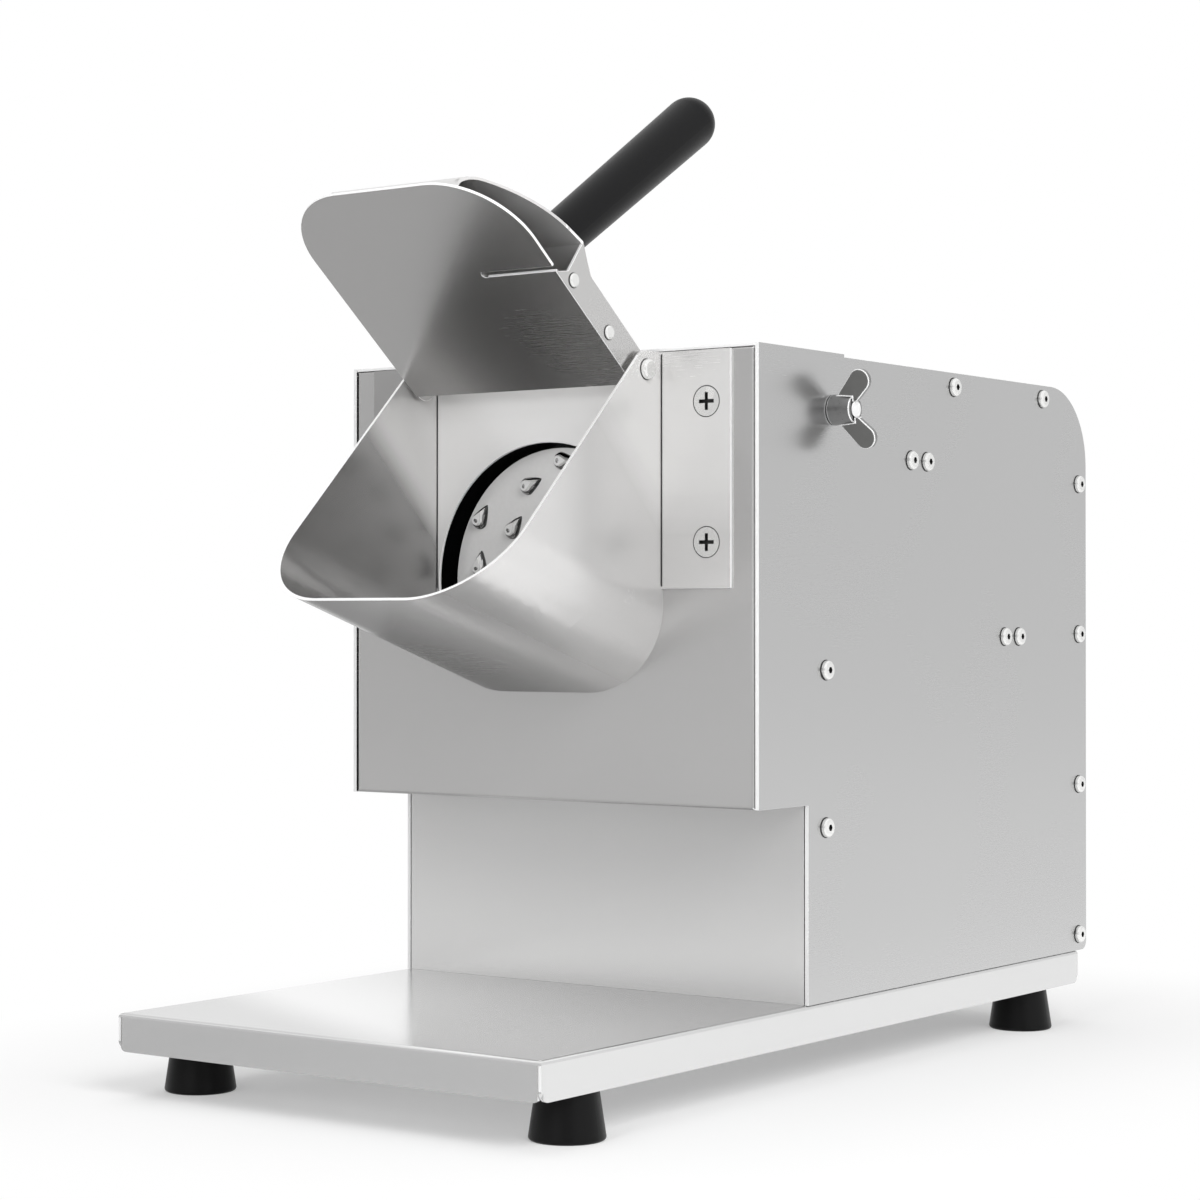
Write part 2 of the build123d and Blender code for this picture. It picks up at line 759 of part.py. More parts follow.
save(button_screws(rear_screw_places + top_screw_places), "cover_screws")
save(button_screws(front_screw_places), "recess_screws")
save(button_screws(brace_screw_places), "brace_screws")

with BuildPart() as floor_screws:
    with Locations(*[(x, y, base_under) for x, y in floor_screw_places]):
        Cylinder(button_r, button_h, align=HIGH)
        Cylinder(screw_r, side_screw_l, align=LOW)
save(floor_screws, "floor_screws")

# Upper brace over the motor, and the cradle that carries the motor's rear foot
def brace_holes():
    """Cut the screw holes of both braces in the piece at hand."""
    for side in (-1, 1):
        with Locations(*[facing_out(side, side * inner_half_w, y, z) for y, z in brace_screw_places]):
            Cylinder(screw_r + hole_play, bracket_t, align=HIGH, mode=Mode.SUBTRACT)


brace_h = brace_top_up + brace_leg_down
with BuildPart() as upper_brace:
    with Locations((0, brace_y, brace_z + brace_top_up)):
        Box(2 * inner_half_w, brace_w, brace_h, align=HIGH)
    with Locations((0, brace_y, brace_z + brace_top_up - bracket_t)):
        Box(2 * (inner_half_w - bracket_t), brace_w, brace_h, align=HIGH, mode=Mode.SUBTRACT)
    brace_holes()
save(upper_brace, "upper_brace")

cradle_bolt_places = [(side * motor_foot_w / 4, motor_foot_y, cradle_top) for side in (-1, 1)]
cradle_h = cradle_screw_z + cradle_leg_up - cradle_top
with BuildPart() as motor_cradle:
    with Locations((0, cradle_y, cradle_top - bracket_t)):
        Box(2 * inner_half_w, brace_w, cradle_h + bracket_t, align=LOW)
    with Locations((0, cradle_y, cradle_top)):
        Box(2 * (inner_half_w - bracket_t), brace_w, cradle_h, align=LOW, mode=Mode.SUBTRACT)
    brace_holes()
    with Locations(*cradle_bolt_places):
        Cylinder(motor_bolt_r + hole_play, bracket_t, align=HIGH, mode=Mode.SUBTRACT)
save(motor_cradle, "motor_cradle")

with BuildPart() as cradle_bolts:
    with Locations(*[(x, y, z - bracket_t) for x, y, z in cradle_bolt_places]):
        Cylinder(motor_bolt_head_r, motor_bolt_head_h, align=HIGH)
        Cylinder(motor_bolt_r, bracket_t + motor_foot_h, align=LOW)
save(cradle_bolts, "cradle_bolts")


# Motor, on the axis of the disc
def along_shaft(y):
    """Place on the motor's axis whose local Z points to the rear."""
    return facing_rear(0, y, disc_z)


core_front = (frame_front + frame_rear - core_l) / 2
with BuildPart() as motor_frame:
    with Locations(along_shaft(frame_front)):
        Cylinder(motor_r, motor_l, align=LOW)
    for rib in range(rib_count):
        turn = 360 / rib_count * rib
        # No ribs where the foot is below and the terminal box is on the left.
        if abs(turn - 180) > 30 and abs(turn - 270) > 35:
            with Locations(along_shaft(frame_front) * Rotation(0, 0, 180 - turn)):
                with Locations((motor_r, 0, 0)):
                    Box(2 * rib_h, rib_w, motor_l, align=LOW)
    with Locations((0, motor_foot_y, cradle_top)):
        Box(motor_foot_w, motor_foot_l, motor_r / 2, align=LOW)
    with Locations(along_shaft(frame_front)):
        Cylinder(motor_r - motor_wall, motor_l, align=LOW, mode=Mode.SUBTRACT)
    with Locations(*cradle_bolt_places):
        Cylinder(motor_bolt_r, motor_foot_h, align=LOW, mode=Mode.SUBTRACT)
save(motor_frame, "motor_frame")

with BuildPart() as stator_core:
    with Locations(along_shaft(core_front)):
        Cylinder(motor_r - motor_wall, core_l, align=LOW)
        Cylinder(rotor_r + air_gap, core_l, align=LOW, mode=Mode.SUBTRACT)
save(stator_core, "stator_core")

with BuildPart() as stator_windings:
    with Locations(along_shaft(core_front - winding_l), along_shaft(core_front + core_l)):
        Cylinder(motor_r - winding_gap, winding_l, align=LOW)
        Cylinder(rotor_r + winding_in, winding_l, align=LOW, mode=Mode.SUBTRACT)
save(stator_windings, "stator_windings")


def end_shield(outer_y, way):
    """Motor end shield: outer_y is its outside face, way the direction into the motor along Y."""
    inner_y = outer_y + way * shield_t
    place = along_shaft(outer_y) if way > 0 else facing_front(0, outer_y, disc_z)
    seat = along_shaft(inner_y) if way > 0 else facing_front(0, inner_y, disc_z)
    with BuildPart() as shield:
        with Locations(place):
            Cylinder(motor_r, shield_t, align=LOW)
        with Locations(seat):
            Cylinder(bearing_r + bearing_seat_wall, bearing_w, align=LOW)
            Cylinder(bearing_r, bearing_w, align=LOW, mode=Mode.SUBTRACT)
        with Locations(place):
            Cylinder(shaft_r + shield_bore_gap, shield_t, align=LOW, mode=Mode.SUBTRACT)
        if way > 0:
            with Locations(*[facing_rear(x, outer_y, z) for x, z in motor_bolt_places]):
                Cylinder(motor_bolt_r, shield_t, align=LOW, mode=Mode.SUBTRACT)
    return shield


shield_rear_y = frame_rear + shield_t
save(end_shield(motor_front, 1), "motor_front_shield")
save(end_shield(shield_rear_y, -1), "motor_rear_shield")

bearing_ys = (frame_front, frame_rear - bearing_w)
for name, bearing_y in zip(("front", "rear"), bearing_ys):
    with BuildPart() as bearing:
        with Locations(along_shaft(bearing_y)):
            Cylinder(bearing_r, bearing_w, align=LOW)
            Cylinder(rotor_shaft_r + shaft_fit, bearing_w, align=LOW, mode=Mode.SUBTRACT)
    save(bearing, f"bearing_{name}")

with BuildPart() as motor_bolts:
    with Locations(*[facing_front(x, recess_y, z) for x, z in motor_bolt_places]):
        Cylinder(motor_bolt_head_r, motor_bolt_head_h, align=LOW)
        Cylinder(motor_bolt_r, sheet_t + shield_t, align=HIGH)
save(motor_bolts, "motor_bolts")

fan_front = shield_rear_y + fan_gap
fan_rear = fan_front + fan_l
with BuildPart() as motor_shaft:
    with Locations(along_shaft(disc_y + disc_t)):
        Cylinder(shaft_r, fan_rear - disc_y - disc_t, align=LOW)
    with Locations(along_shaft(frame_front)):
        Cylinder(rotor_shaft_r, motor_l, align=LOW)
    with Locations(along_shaft(disc_y + disc_t)):
        Cylinder(centre_bolt_r, centre_bolt_l, align=LOW, mode=Mode.SUBTRACT)
save(motor_shaft, "motor_shaft")

with BuildPart() as rotor_core:
    with Locations(along_shaft(core_front)):
        Cylinder(rotor_r, core_l, align=LOW)
        Cylinder(rotor_shaft_r, core_l, align=LOW, mode=Mode.SUBTRACT)
save(rotor_core, "rotor_core")

fan_r = motor_r - fan_margin
with BuildPart() as cooling_fan:
    with Locations(along_shaft(fan_front)):
        Cylinder(fan_r, fan_blade_t, align=LOW)
        Cylinder(fan_hub_r, fan_l, align=LOW)
        with PolarLocations((fan_hub_r + fan_r) / 2 - fan_blade_t, fan_blades):
            Box(fan_r - fan_hub_r, fan_blade_t, fan_l, align=LOW)
        Cylinder(shaft_r, fan_l, align=LOW, mode=Mode.SUBTRACT)
save(cooling_fan, "cooling_fan")

with BuildPart() as fan_cover:
    with Locations(along_shaft(shield_rear_y)):
        Cylinder(motor_r, fan_cover_l, align=LOW)
        Cylinder(motor_r - sheet_t, fan_cover_l - sheet_t, align=LOW, mode=Mode.SUBTRACT)
    with Locations(along_shaft(shield_rear_y + fan_cover_l)):
        for ring, count in ((14, 6), (28, 12), (42, 18)):
            with PolarLocations(ring, count):
                Cylinder(fan_hole_r, sheet_t, align=HIGH, mode=Mode.SUBTRACT)
save(fan_cover, "fan_cover")

terminal_y = frame_front + terminal_box_y
with BuildPart() as terminal_box:
    with Locations((-motor_r - terminal_box_out, terminal_y, disc_z)):
        Box(terminal_box_out + motor_wall, terminal_box_l, terminal_box_h, align=(Align.MIN, Align.CENTER, Align.CENTER))
    fillet(terminal_box.edges().filter_by(Axis.X), sheet_t)
    with Locations(along_shaft(frame_front)):
        Cylinder(motor_r, motor_l, align=LOW, mode=Mode.SUBTRACT)
save(terminal_box, "terminal_box")

# Shaft seal, disc hub, grating disc and centre bolt
with BuildPart() as shaft_seal:
    with Locations(facing_front(0, recess_y, disc_z)):
        Cylinder(seal_neck_r + seal_lip, seal_h, align=LOW)
        Cylinder(seal_neck_r, sheet_t, align=HIGH)
        Cylinder(shaft_r + shaft_fit, 2 * (seal_h + sheet_t), mode=Mode.SUBTRACT)
save(shaft_seal, "shaft_seal")

with BuildPart() as disc_hub:
    with Locations(along_shaft(disc_y + disc_t)):
        Cylinder(shaft_r + hub_wall, hub_l, align=LOW)
        Cylinder(shaft_r, hub_l, align=LOW, mode=Mode.SUBTRACT)
save(disc_hub, "disc_hub")


def drop_outline(radius, length):
    """Teardrop: a round end at the origin and a point at this length along local Y."""
    with BuildSketch() as drop:
        with BuildLine():
            rounding = CenterArc((0, 0), radius, 180 - 26, 180 + 52)
            Polyline(rounding @ 1, (0, length), rounding @ 0)
        make_face()
    return drop.sketch


# Each tooth is a hollow teardrop hood, open at its round end
tooth_outside = drop_outline(tooth_r, tooth_l)
tooth_inside = drop_outline(tooth_r - tooth_wall, tooth_l - 2 * tooth_wall)
with BuildPart() as tooth:
    extrude(to_extrude=tooth_outside, amount=tooth_h, taper=tooth_taper)
with BuildPart() as tooth_hollow:
    extrude(to_extrude=tooth_inside, amount=tooth_h - tooth_wall, taper=tooth_taper)
    extrude(to_extrude=tooth_inside, amount=-disc_t)
    with Locations((0, -tooth_r, 0)):
        Box(2 * tooth_r - 2 * tooth_wall, 2 * tooth_mouth, tooth_h, align=LOW)

tooth_places = []
for rim_gap, first in tooth_rings:
    ring_r = disc_r - rim_gap
    for step in range(teeth_per_ring):
        turn = first + 360 / teeth_per_ring * step
        place_x = ring_r * cos(radians(turn))
        place_z = disc_z + ring_r * sin(radians(turn))
        tooth_places.append(facing_front(place_x, disc_y, place_z) * Rotation(0, 0, turn - 180))

with BuildPart() as grating_disc:
    with Locations(facing_front(0, disc_y, disc_z)):
        Cylinder(disc_r, disc_t, align=HIGH)
    with Locations(*tooth_places):
        add(tooth.part)
    with Locations(*tooth_places):
        add(tooth_hollow.part, mode=Mode.SUBTRACT)
    with Locations(facing_front(0, disc_y, disc_z)):
        Cylinder(centre_bolt_r + hole_play, disc_t, align=HIGH, mode=Mode.SUBTRACT)
save(grating_disc, "grating_disc")

with BuildPart() as centre_bolt:
    with Locations(facing_front(0, disc_y, disc_z)):
        Cylinder(centre_head_r, centre_head_h, align=LOW)
        fillet(centre_bolt.faces().sort_by(Axis.Y)[0].edges(), centre_head_h / 2)
        Cylinder(centre_bolt_r, disc_t + centre_bolt_l, align=HIGH)
save(centre_bolt, "centre_bolt")

# Wing studs and wing nuts that hold the head cover
with BuildPart() as wing_studs:
    for side in (-1, 1):
        with Locations(facing_out(side, side * (inner_half_w - sheet_t), wing_y, wing_z)):
            Cylinder(wing_plate_r, wing_plate_t, align=HIGH)
            Cylinder(wing_thread_r, sheet_t + panel_t + wing_hub_h + wing_stud_past_hub, align=LOW)
save(wing_studs, "wing_studs")

with BuildPart() as wing_nut:
    Cone(wing_hub_r + 1, wing_hub_r, wing_hub_h, align=LOW)
    with BuildSketch(Plane.XZ) as wings:
        with BuildLine():
            CenterArc((wing_span / 2 - wing_tip_r, wing_rise - wing_tip_r), wing_tip_r, 0, 360)
            CenterArc((wing_hub_r / 2, wing_root_r + 1), wing_root_r, 0, 360)
            CenterArc((wing_hub_r / 2, wing_hub_h - wing_root_r), wing_root_r, 0, 360)
        make_hull()
        mirror(about=Plane.YZ)
    extrude(amount=wing_t / 2, both=True)
    Cylinder(wing_thread_r + shaft_fit, 3 * wing_hub_h, mode=Mode.SUBTRACT)

for side, name in ((-1, "left"), (1, "right")):
    with BuildPart() as placed_nut:
        with Locations(facing_out(side, side * (half_w + loose_gap), wing_y, wing_z) * Rotation(0, 0, wing_turn)):
            add(wing_nut.part)
    save(placed_nut, f"wing_nut_{name}")

# Hinge pins of the pusher, with washers and nuts inside the chute
wall_x = chute_w / 2
strip_x = pusher_w / 2
hinge_pin_places = [facing_out(side, side * wall_x, pin_y, pin_z) for side in (-1, 1)]
with BuildPart() as hinge_pin:
    Cylinder(pin_head_r, pin_head_h, align=LOW)
    fillet(hinge_pin.faces().sort_by(Axis.Z)[-1].edges(), pin_head_h / 2)
    Cylinder(pin_r, wall_x - strip_x + sheet_t + loose_gap + pin_nut_h, align=HIGH)

with BuildPart() as hinge_pins:
    with Locations(*hinge_pin_places):
        add(hinge_pin.part)
save(hinge_pins, "hinge_pins")

with BuildPart() as hinge_washers:
    for side in (-1, 1):
        with Locations(facing_out(side, side * (wall_x - sheet_t), pin_y, pin_z)):
            Cylinder(pin_nut_r, wall_x - sheet_t - strip_x - loose_gap, align=HIGH)
            Cylinder(pin_r, wall_x, align=HIGH, mode=Mode.SUBTRACT)
save(hinge_washers, "hinge_washers")

with BuildPart() as hinge_nut:
    with BuildSketch():
        RegularPolygon(pin_nut_r, 6)
        Circle(pin_r, mode=Mode.SUBTRACT)
    extrude(amount=-pin_nut_h)

with BuildPart() as hinge_nuts:
    for side in (-1, 1):
        with Locations(facing_out(side, side * (strip_x - sheet_t - loose_gap), pin_y, pin_z)):
            add(hinge_nut.part)
save(hinge_nuts, "hinge_nuts")

# Pusher: the plate plane runs forward and up from the hinge
along_plate = Vector(0, -cos(radians(pusher_open)), sin(radians(pusher_open)))
off_plate = Vector(0, sin(radians(pusher_open)), cos(radians(pusher_open)))
hinge_point = Vector(0, pin_y, pin_z)
plate_point = hinge_point - off_plate * plate_drop
# Local x and y of this plane are across the machine and along the plate.
plate_plane = Plane(origin=plate_point, x_dir=(-1, 0, 0), z_dir=off_plate)


def pusher_side(x):
    """Plane beside the pusher: local x runs along the plate and local y off it, to the back."""
    return Plane(origin=plate_point + Vector(x, 0, 0), x_dir=along_plate, z_dir=(-1, 0, 0))


with BuildSketch(plate_plane) as plate_outline:
    Rectangle(pusher_w, pusher_l, align=(Align.CENTER, Align.MIN))
    fillet(plate_outline.vertices().group_by(Axis.Y)[-1], pusher_tip_r)

strip_end_r = strip_d / 2
with BuildPart() as pusher_plate:
    extrude(to_extrude=plate_outline.sketch, amount=sheet_t)
    for side in (-1, 1):
        with BuildSketch(pusher_side(side * strip_x)):
            with BuildLine():
                Polyline(
                    (0, 0),
                    (slot_at, 0),
                    (fold_at, slot_at - fold_at),
                    (fold_at, fold_rise),
                    (strip_kink, strip_d),
                    (0, strip_d),
                )
                ThreePointArc((0, strip_d), (-strip_end_r, strip_end_r), (0, 0))
            make_face()
        extrude(amount=side * sheet_t)
        with BuildSketch(pusher_side(side * strip_x)):
            with Locations((0, plate_drop)):
                Circle(pin_r + pin_fit)
            with Locations(*[(at, rivet_rise) for at in rivet_ats]):
                Circle(rivet_r + hole_play)
        extrude(amount=side * sheet_t, mode=Mode.SUBTRACT)
    # The relief slot is on the right only, where local x of the plate plane is negative.
    with BuildSketch(plate_plane):
        with Locations((-strip_x, slot_at + slot_w / 2)):
            Rectangle(2 * slot_l, slot_w)
        with Locations((slot_l - strip_x, slot_at + slot_w / 2)):
            Circle(slot_end_r)
    extrude(amount=sheet_t, mode=Mode.SUBTRACT)
save(pusher_plate, "pusher_plate")

# Back sheet: tip flange, curved over to the fold, then down behind the plate to carry the handle
with BuildSketch(pusher_side(0)) as back_profile:
    with BuildLine():
        spine = FilletPolyline(
            (tip_flange_at, sheet_t),
            (tip_flange_at, tip_flange_rise),
            (fold_at, fold_rise),
            (back_end_at, back_end_rise),
            radius=[tip_bend_r, sheet_t * 2],
        )
        offset(amount=sheet_t, side=Side.LEFT, closed=True)
    make_face()

with BuildSketch(plate_plane) as back_outline:
    Rectangle(pusher_w, pusher_l, align=(Align.CENTER, Align.MIN))
    fillet(back_outline.vertices().group_by(Axis.Y)[-1], back_tip_r)

back_slope = (fold_rise - back_end_rise) / (fold_at - back_end_at)
tab_x = strip_x - sheet_t
with BuildPart() as pusher_back:
    extrude(to_extrude=back_profile.sketch, amount=strip_x, both=True)
    extrude(to_extrude=back_outline.sketch, amount=2 * fold_rise, mode=Mode.INTERSECT)
    for side in (-1, 1):
        with BuildSketch(plate_plane):
            with Locations((side * strip_x, 0)):
                Rectangle(2 * sheet_t, 2 * fold_at)
        extrude(amount=2 * fold_rise, mode=Mode.SUBTRACT)
        with BuildSketch(pusher_side(side * tab_x)):
            Polygon(
                (tab_from, tab_low),
                (fold_at - sheet_t, tab_low),
                (fold_at - sheet_t, fold_rise - sheet_t),
                (tab_from, back_end_rise + back_slope * (tab_from - back_end_at) - sheet_t / 2),
                align=None,
            )
        extrude(amount=side * sheet_t)
        with BuildSketch(pusher_side(side * tab_x)):
            with Locations(*[(at, rivet_rise) for at in rivet_ats]):
                Circle(rivet_r + hole_play)
        extrude(amount=side * sheet_t, mode=Mode.SUBTRACT)

# Handle, square to the sloping back sheet
root_rise = back_end_rise + back_slope * (handle_at - back_end_at)
root_point = plate_point + along_plate * handle_at + off_plate * root_rise
handle_way = (off_plate - along_plate * back_slope).normalized()
handle_place = Plane(origin=root_point, x_dir=(1, 0, 0), z_dir=handle_way).location
with BuildPart() as back_sheet:
    add(pusher_back.part)
    with Locations(handle_place):
        Cylinder(handle_bolt_r + hole_play, 4 * sheet_t, mode=Mode.SUBTRACT)
save(back_sheet, "pusher_back")

with BuildPart() as rivet:
    Cylinder(rivet_r, 2 * sheet_t, align=HIGH)
    Cylinder(rivet_head_r, rivet_head_h, align=LOW)
    fillet(rivet.faces().sort_by(Axis.Z)[-1].edges(), rivet_head_h * 0.8)
    with Locations((0, 0, -2 * sheet_t)):
        Cylinder(rivet_tail_r, rivet_head_h, align=HIGH)

with BuildPart() as pusher_rivets:
    for side in (-1, 1):
        for at in rivet_ats:
            rivet_point = plate_point + along_plate * at + off_plate * rivet_rise
            with Locations(facing_out(side, side * strip_x, rivet_point.Y, rivet_point.Z)):
                add(rivet.part)
save(pusher_rivets, "pusher_rivets")

with BuildPart() as handle_stem:
    with Locations(handle_place):
        Cylinder(stem_foot_r, stem_foot_h, align=LOW)
        Cylinder(stem_r, stem_l, align=LOW)
        Cylinder(handle_bolt_r, handle_bolt_l, align=LOW, mode=Mode.SUBTRACT)
save(handle_stem, "handle_stem")

with BuildPart() as handle_bolt:
    with Locations(handle_place):
        Cylinder(handle_bolt_r, handle_bolt_l, align=LOW)
        Cylinder(handle_bolt_r, 1.1 * sheet_t, align=HIGH)
    with BuildSketch(Plane(handle_place).offset(-sheet_t)):
        RegularPolygon(handle_bolt_head_r, 6)
    extrude(amount=-handle_bolt_head_h)
save(handle_bolt, "handle_bolt")

with BuildPart() as grip:
    with Locations((0, 0, grip_from)):
        Cone(grip_root_r, grip_end_r, grip_l - grip_end_r, align=LOW)
    fillet(grip.faces().sort_by(Axis.Z)[0].edges(), grip_root_fillet)
    with Locations((0, 0, grip_from + grip_l - grip_end_r)):
        Sphere(grip_end_r)
    Cylinder(stem_r, stem_l, align=LOW, mode=Mode.SUBTRACT)

with BuildPart() as handle_grip:
    with Locations(handle_place):
        add(grip.part)
save(handle_grip, "handle_grip")

# Switch with a start and a stop button on the left panel
bezel_x = half_w + switch_bezel
button_zs = (switch_z + cap_pitch / 2, switch_z - cap_pitch / 2)
with BuildPart() as switch_body:
    with Locations(facing_out(-1, -half_w, switch_y, switch_z)):
        Box(switch_w, switch_h, switch_bezel, align=LOW)
        Box(switch_w - 2 * switch_bezel_edge, switch_h - 2 * switch_bezel_edge, switch_depth, align=HIGH)
    fillet(switch_body.edges().filter_by(Axis.X).group_by(Axis.X)[0], switch_bezel_edge)
    with Locations(*[facing_out(-1, -bezel_x, switch_y, z) for z in button_zs]):
        Cylinder(cap_r + cap_gap, cap_l - cap_out + cap_travel + cap_gap, align=HIGH, mode=Mode.SUBTRACT)
save(switch_body, "switch_body")

for name, button_z in zip(("start_button", "stop_button"), button_zs):
    with BuildPart() as button:
        with Locations(facing_out(-1, -bezel_x - cap_out, switch_y, button_z)):
            Cylinder(cap_r, cap_l, align=HIGH)
        fillet(button.faces().sort_by(Axis.X)[0].edges(), cap_edge_r)
    save(button, name)

# Cable gland low on the rear cover
with BuildPart() as cable_gland:
    with BuildSketch(Plane(facing_rear(gland_x, rear_y, gland_z))):
        RegularPolygon(gland_hex_r, 6)
    extrude(amount=gland_hex_h)
    with Locations(facing_rear(gland_x, rear_y + gland_hex_h, gland_z)):
        Cone(gland_cap_r, gland_cap_end_r, gland_reach - gland_hex_h, align=LOW)
    with Locations(facing_rear(gland_x, rear_y, gland_z)):
        Cylinder(gland_thread_r, gland_inside, align=HIGH)
        Cylinder(gland_bore_r, 3 * gland_reach, mode=Mode.SUBTRACT)
save(cable_gland, "cable_gland")

with BuildPart() as gland_nut:
    with BuildSketch(Plane(facing_rear(gland_x, rear_y - sheet_t, gland_z))):
        RegularPolygon(gland_hex_r, 6)
        Circle(gland_thread_r, mode=Mode.SUBTRACT)
    extrude(amount=-gland_nut_h)
save(gland_nut, "gland_nut")

# Motor capacitor under its clip on the base
capacitor_y = rear_y - capacitor_in_rear
capacitor_z = base_top + capacitor_r
with BuildPart() as capacitor:
    with Locations(facing_rear(capacitor_x, capacitor_y, capacitor_z)):
        Cylinder(capacitor_r, capacitor_l)
    fillet(capacitor.edges(), sheet_t)
save(capacitor, "capacitor")

clip_r = capacitor_r + sheet_t
with BuildPart() as capacitor_clip:
    with BuildSketch(face_plane(capacitor_y)):
        with Locations((capacitor_x, capacitor_z)):
            Circle(clip_r)
            Rectangle(2 * clip_r, capacitor_r, align=(Align.CENTER, Align.MAX))
        with Locations((capacitor_x, base_top)):
            Rectangle(2 * (clip_r + clip_foot), sheet_t, align=(Align.CENTER, Align.MIN))
        with Locations((capacitor_x, capacitor_z)):
            Circle(capacitor_r, mode=Mode.SUBTRACT)
            Rectangle(2 * capacitor_r, 2 * capacitor_r, align=(Align.CENTER, Align.MAX), mode=Mode.SUBTRACT)
        with Locations((capacitor_x, base_top)):
            Rectangle(4 * clip_r, clip_r, align=(Align.CENTER, Align.MAX), mode=Mode.SUBTRACT)
    extrude(amount=clip_w / 2, both=True)
save(capacitor_clip, "capacitor_clip")
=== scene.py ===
import json
from math import cos, pi, radians, sin
import bmesh
import bpy
from mathutils import Matrix, Vector

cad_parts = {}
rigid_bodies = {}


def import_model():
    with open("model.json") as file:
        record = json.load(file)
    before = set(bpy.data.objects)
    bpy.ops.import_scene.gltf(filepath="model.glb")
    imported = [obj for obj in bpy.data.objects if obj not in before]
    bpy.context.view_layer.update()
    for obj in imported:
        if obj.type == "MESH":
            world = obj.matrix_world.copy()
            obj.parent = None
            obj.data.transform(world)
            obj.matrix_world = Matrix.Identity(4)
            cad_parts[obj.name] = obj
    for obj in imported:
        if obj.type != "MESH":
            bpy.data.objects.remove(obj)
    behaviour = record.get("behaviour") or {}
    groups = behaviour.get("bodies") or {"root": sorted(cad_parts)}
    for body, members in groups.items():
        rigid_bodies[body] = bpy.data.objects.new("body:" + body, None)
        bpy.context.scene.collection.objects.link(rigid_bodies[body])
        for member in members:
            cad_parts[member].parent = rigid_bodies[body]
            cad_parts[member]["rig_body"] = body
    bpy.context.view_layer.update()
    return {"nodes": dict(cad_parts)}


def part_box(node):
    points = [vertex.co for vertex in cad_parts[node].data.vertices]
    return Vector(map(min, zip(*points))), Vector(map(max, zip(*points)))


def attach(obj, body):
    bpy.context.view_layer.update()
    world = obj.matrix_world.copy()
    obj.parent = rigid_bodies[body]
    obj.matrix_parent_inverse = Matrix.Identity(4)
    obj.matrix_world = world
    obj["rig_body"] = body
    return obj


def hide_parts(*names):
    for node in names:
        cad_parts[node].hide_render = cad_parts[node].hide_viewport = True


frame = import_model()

nodes = frame["nodes"]
bpy.ops.object.select_all(action="DESELECT")

# Places on the machine that more than one finish or piece uses, in metres
chute_wall_x = 0.0702
crease_x, crease_y = 0.0708, -0.0978
joint_x = 0.0688
crease_top, crease_foot = 0.353, 0.240
panel_face_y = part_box("head_front_panel")[0][1]
tray_top_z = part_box("base_tray")[1][2]


# Building blocks of the finishes

def new_finish(name):
    """An empty material, with its node tree's nodes, links and shader."""
    finish = bpy.data.materials.new(name)
    finish.use_nodes = True
    return (finish, *tree_of(finish))


def tree_of(finish):
    """The nodes, links and Principled shader of a finish."""
    tree = finish.node_tree
    return tree.nodes, tree.links, tree.nodes["Principled BSDF"]


def object_place(tree_nodes):
    """The place of a point on the piece."""
    return tree_nodes.new("ShaderNodeTexCoord").outputs["Object"]


def sides_of(tree_nodes, links, place):
    """A place's X, Y and Z."""
    sides = tree_nodes.new("ShaderNodeSeparateXYZ")
    links.new(place, sides.inputs["Vector"])
    return sides.outputs


def along_line(tree_nodes, links, place, direction):
    """How far a place lies along a direction."""
    line = tree_nodes.new("ShaderNodeVectorMath")
    line.operation = "DOT_PRODUCT"
    line.inputs[1].default_value = direction
    links.new(place, line.inputs[0])
    return line.outputs["Value"]


def sum_of(tree_nodes, links, operation, first, second=None, clamp=False):
    """One sum on a socket and a second socket or number."""
    node = tree_nodes.new("ShaderNodeMath")
    node.operation = operation
    node.use_clamp = clamp
    links.new(first, node.inputs[0])
    if isinstance(second, (int, float)):
        node.inputs[1].default_value = second
    elif second is not None:
        links.new(second, node.inputs[1])
    return node.outputs["Value"]


def carried(tree_nodes, links, value, start, end, low, high, way="SMOOTHSTEP"):
    """A value carried from low at start to high at end."""
    span = tree_nodes.new("ShaderNodeMapRange")
    span.interpolation_type = way
    span.inputs["From Min"].default_value = start
    span.inputs["From Max"].default_value = end
    span.inputs["To Min"].default_value = low
    span.inputs["To Max"].default_value = high
    links.new(value, span.inputs["Value"])
    return span.outputs["Result"]


def grain_field(tree_nodes, links, scale, detail, stretch):
    """Noise on the piece's own coordinates, stretched along the grain."""
    mapping = tree_nodes.new("ShaderNodeMapping")
    mapping.inputs["Scale"].default_value = stretch
    links.new(object_place(tree_nodes), mapping.inputs["Vector"])
    noise = tree_nodes.new("ShaderNodeTexNoise")
    noise.inputs["Scale"].default_value = scale
    noise.inputs["Detail"].default_value = detail
    links.new(mapping.outputs["Vector"], noise.inputs["Vector"])
    return noise.outputs["Fac"]


# Noise lies mostly between these two values
noise_low, noise_high = 0.3, 0.7


def spread(tree_nodes, links, field, low, high):
    """The noise, spread from low to high."""
    return carried(tree_nodes, links, field, noise_low, noise_high, low, high, "LINEAR")


def tint(tree_nodes, links, field, dark, light):
    """A colour between dark and light, by the noise."""
    ramp = tree_nodes.new("ShaderNodeValToRGB")
    ends = ramp.color_ramp.elements
    ends[0].position, ends[0].color = noise_low, (*dark, 1)
    ends[1].position, ends[1].color = noise_high, (*light, 1)
    links.new(field, ramp.inputs["Fac"])
    return ramp.outputs["Color"]


def shaded_by(tree_nodes, links, shader, factor):
    """Multiply the finish's colour by a factor."""
    shade = tree_nodes.new("ShaderNodeMix")
    shade.data_type = "RGBA"
    shade.blend_type = "MULTIPLY"
    shade.inputs["Factor"].default_value = 1.0
    links.new(shader.inputs["Base Color"].links[0].from_socket, shade.inputs["A"])
    links.new(factor, shade.inputs["B"])
    links.new(shade.outputs["Result"], shader.inputs["Base Color"])


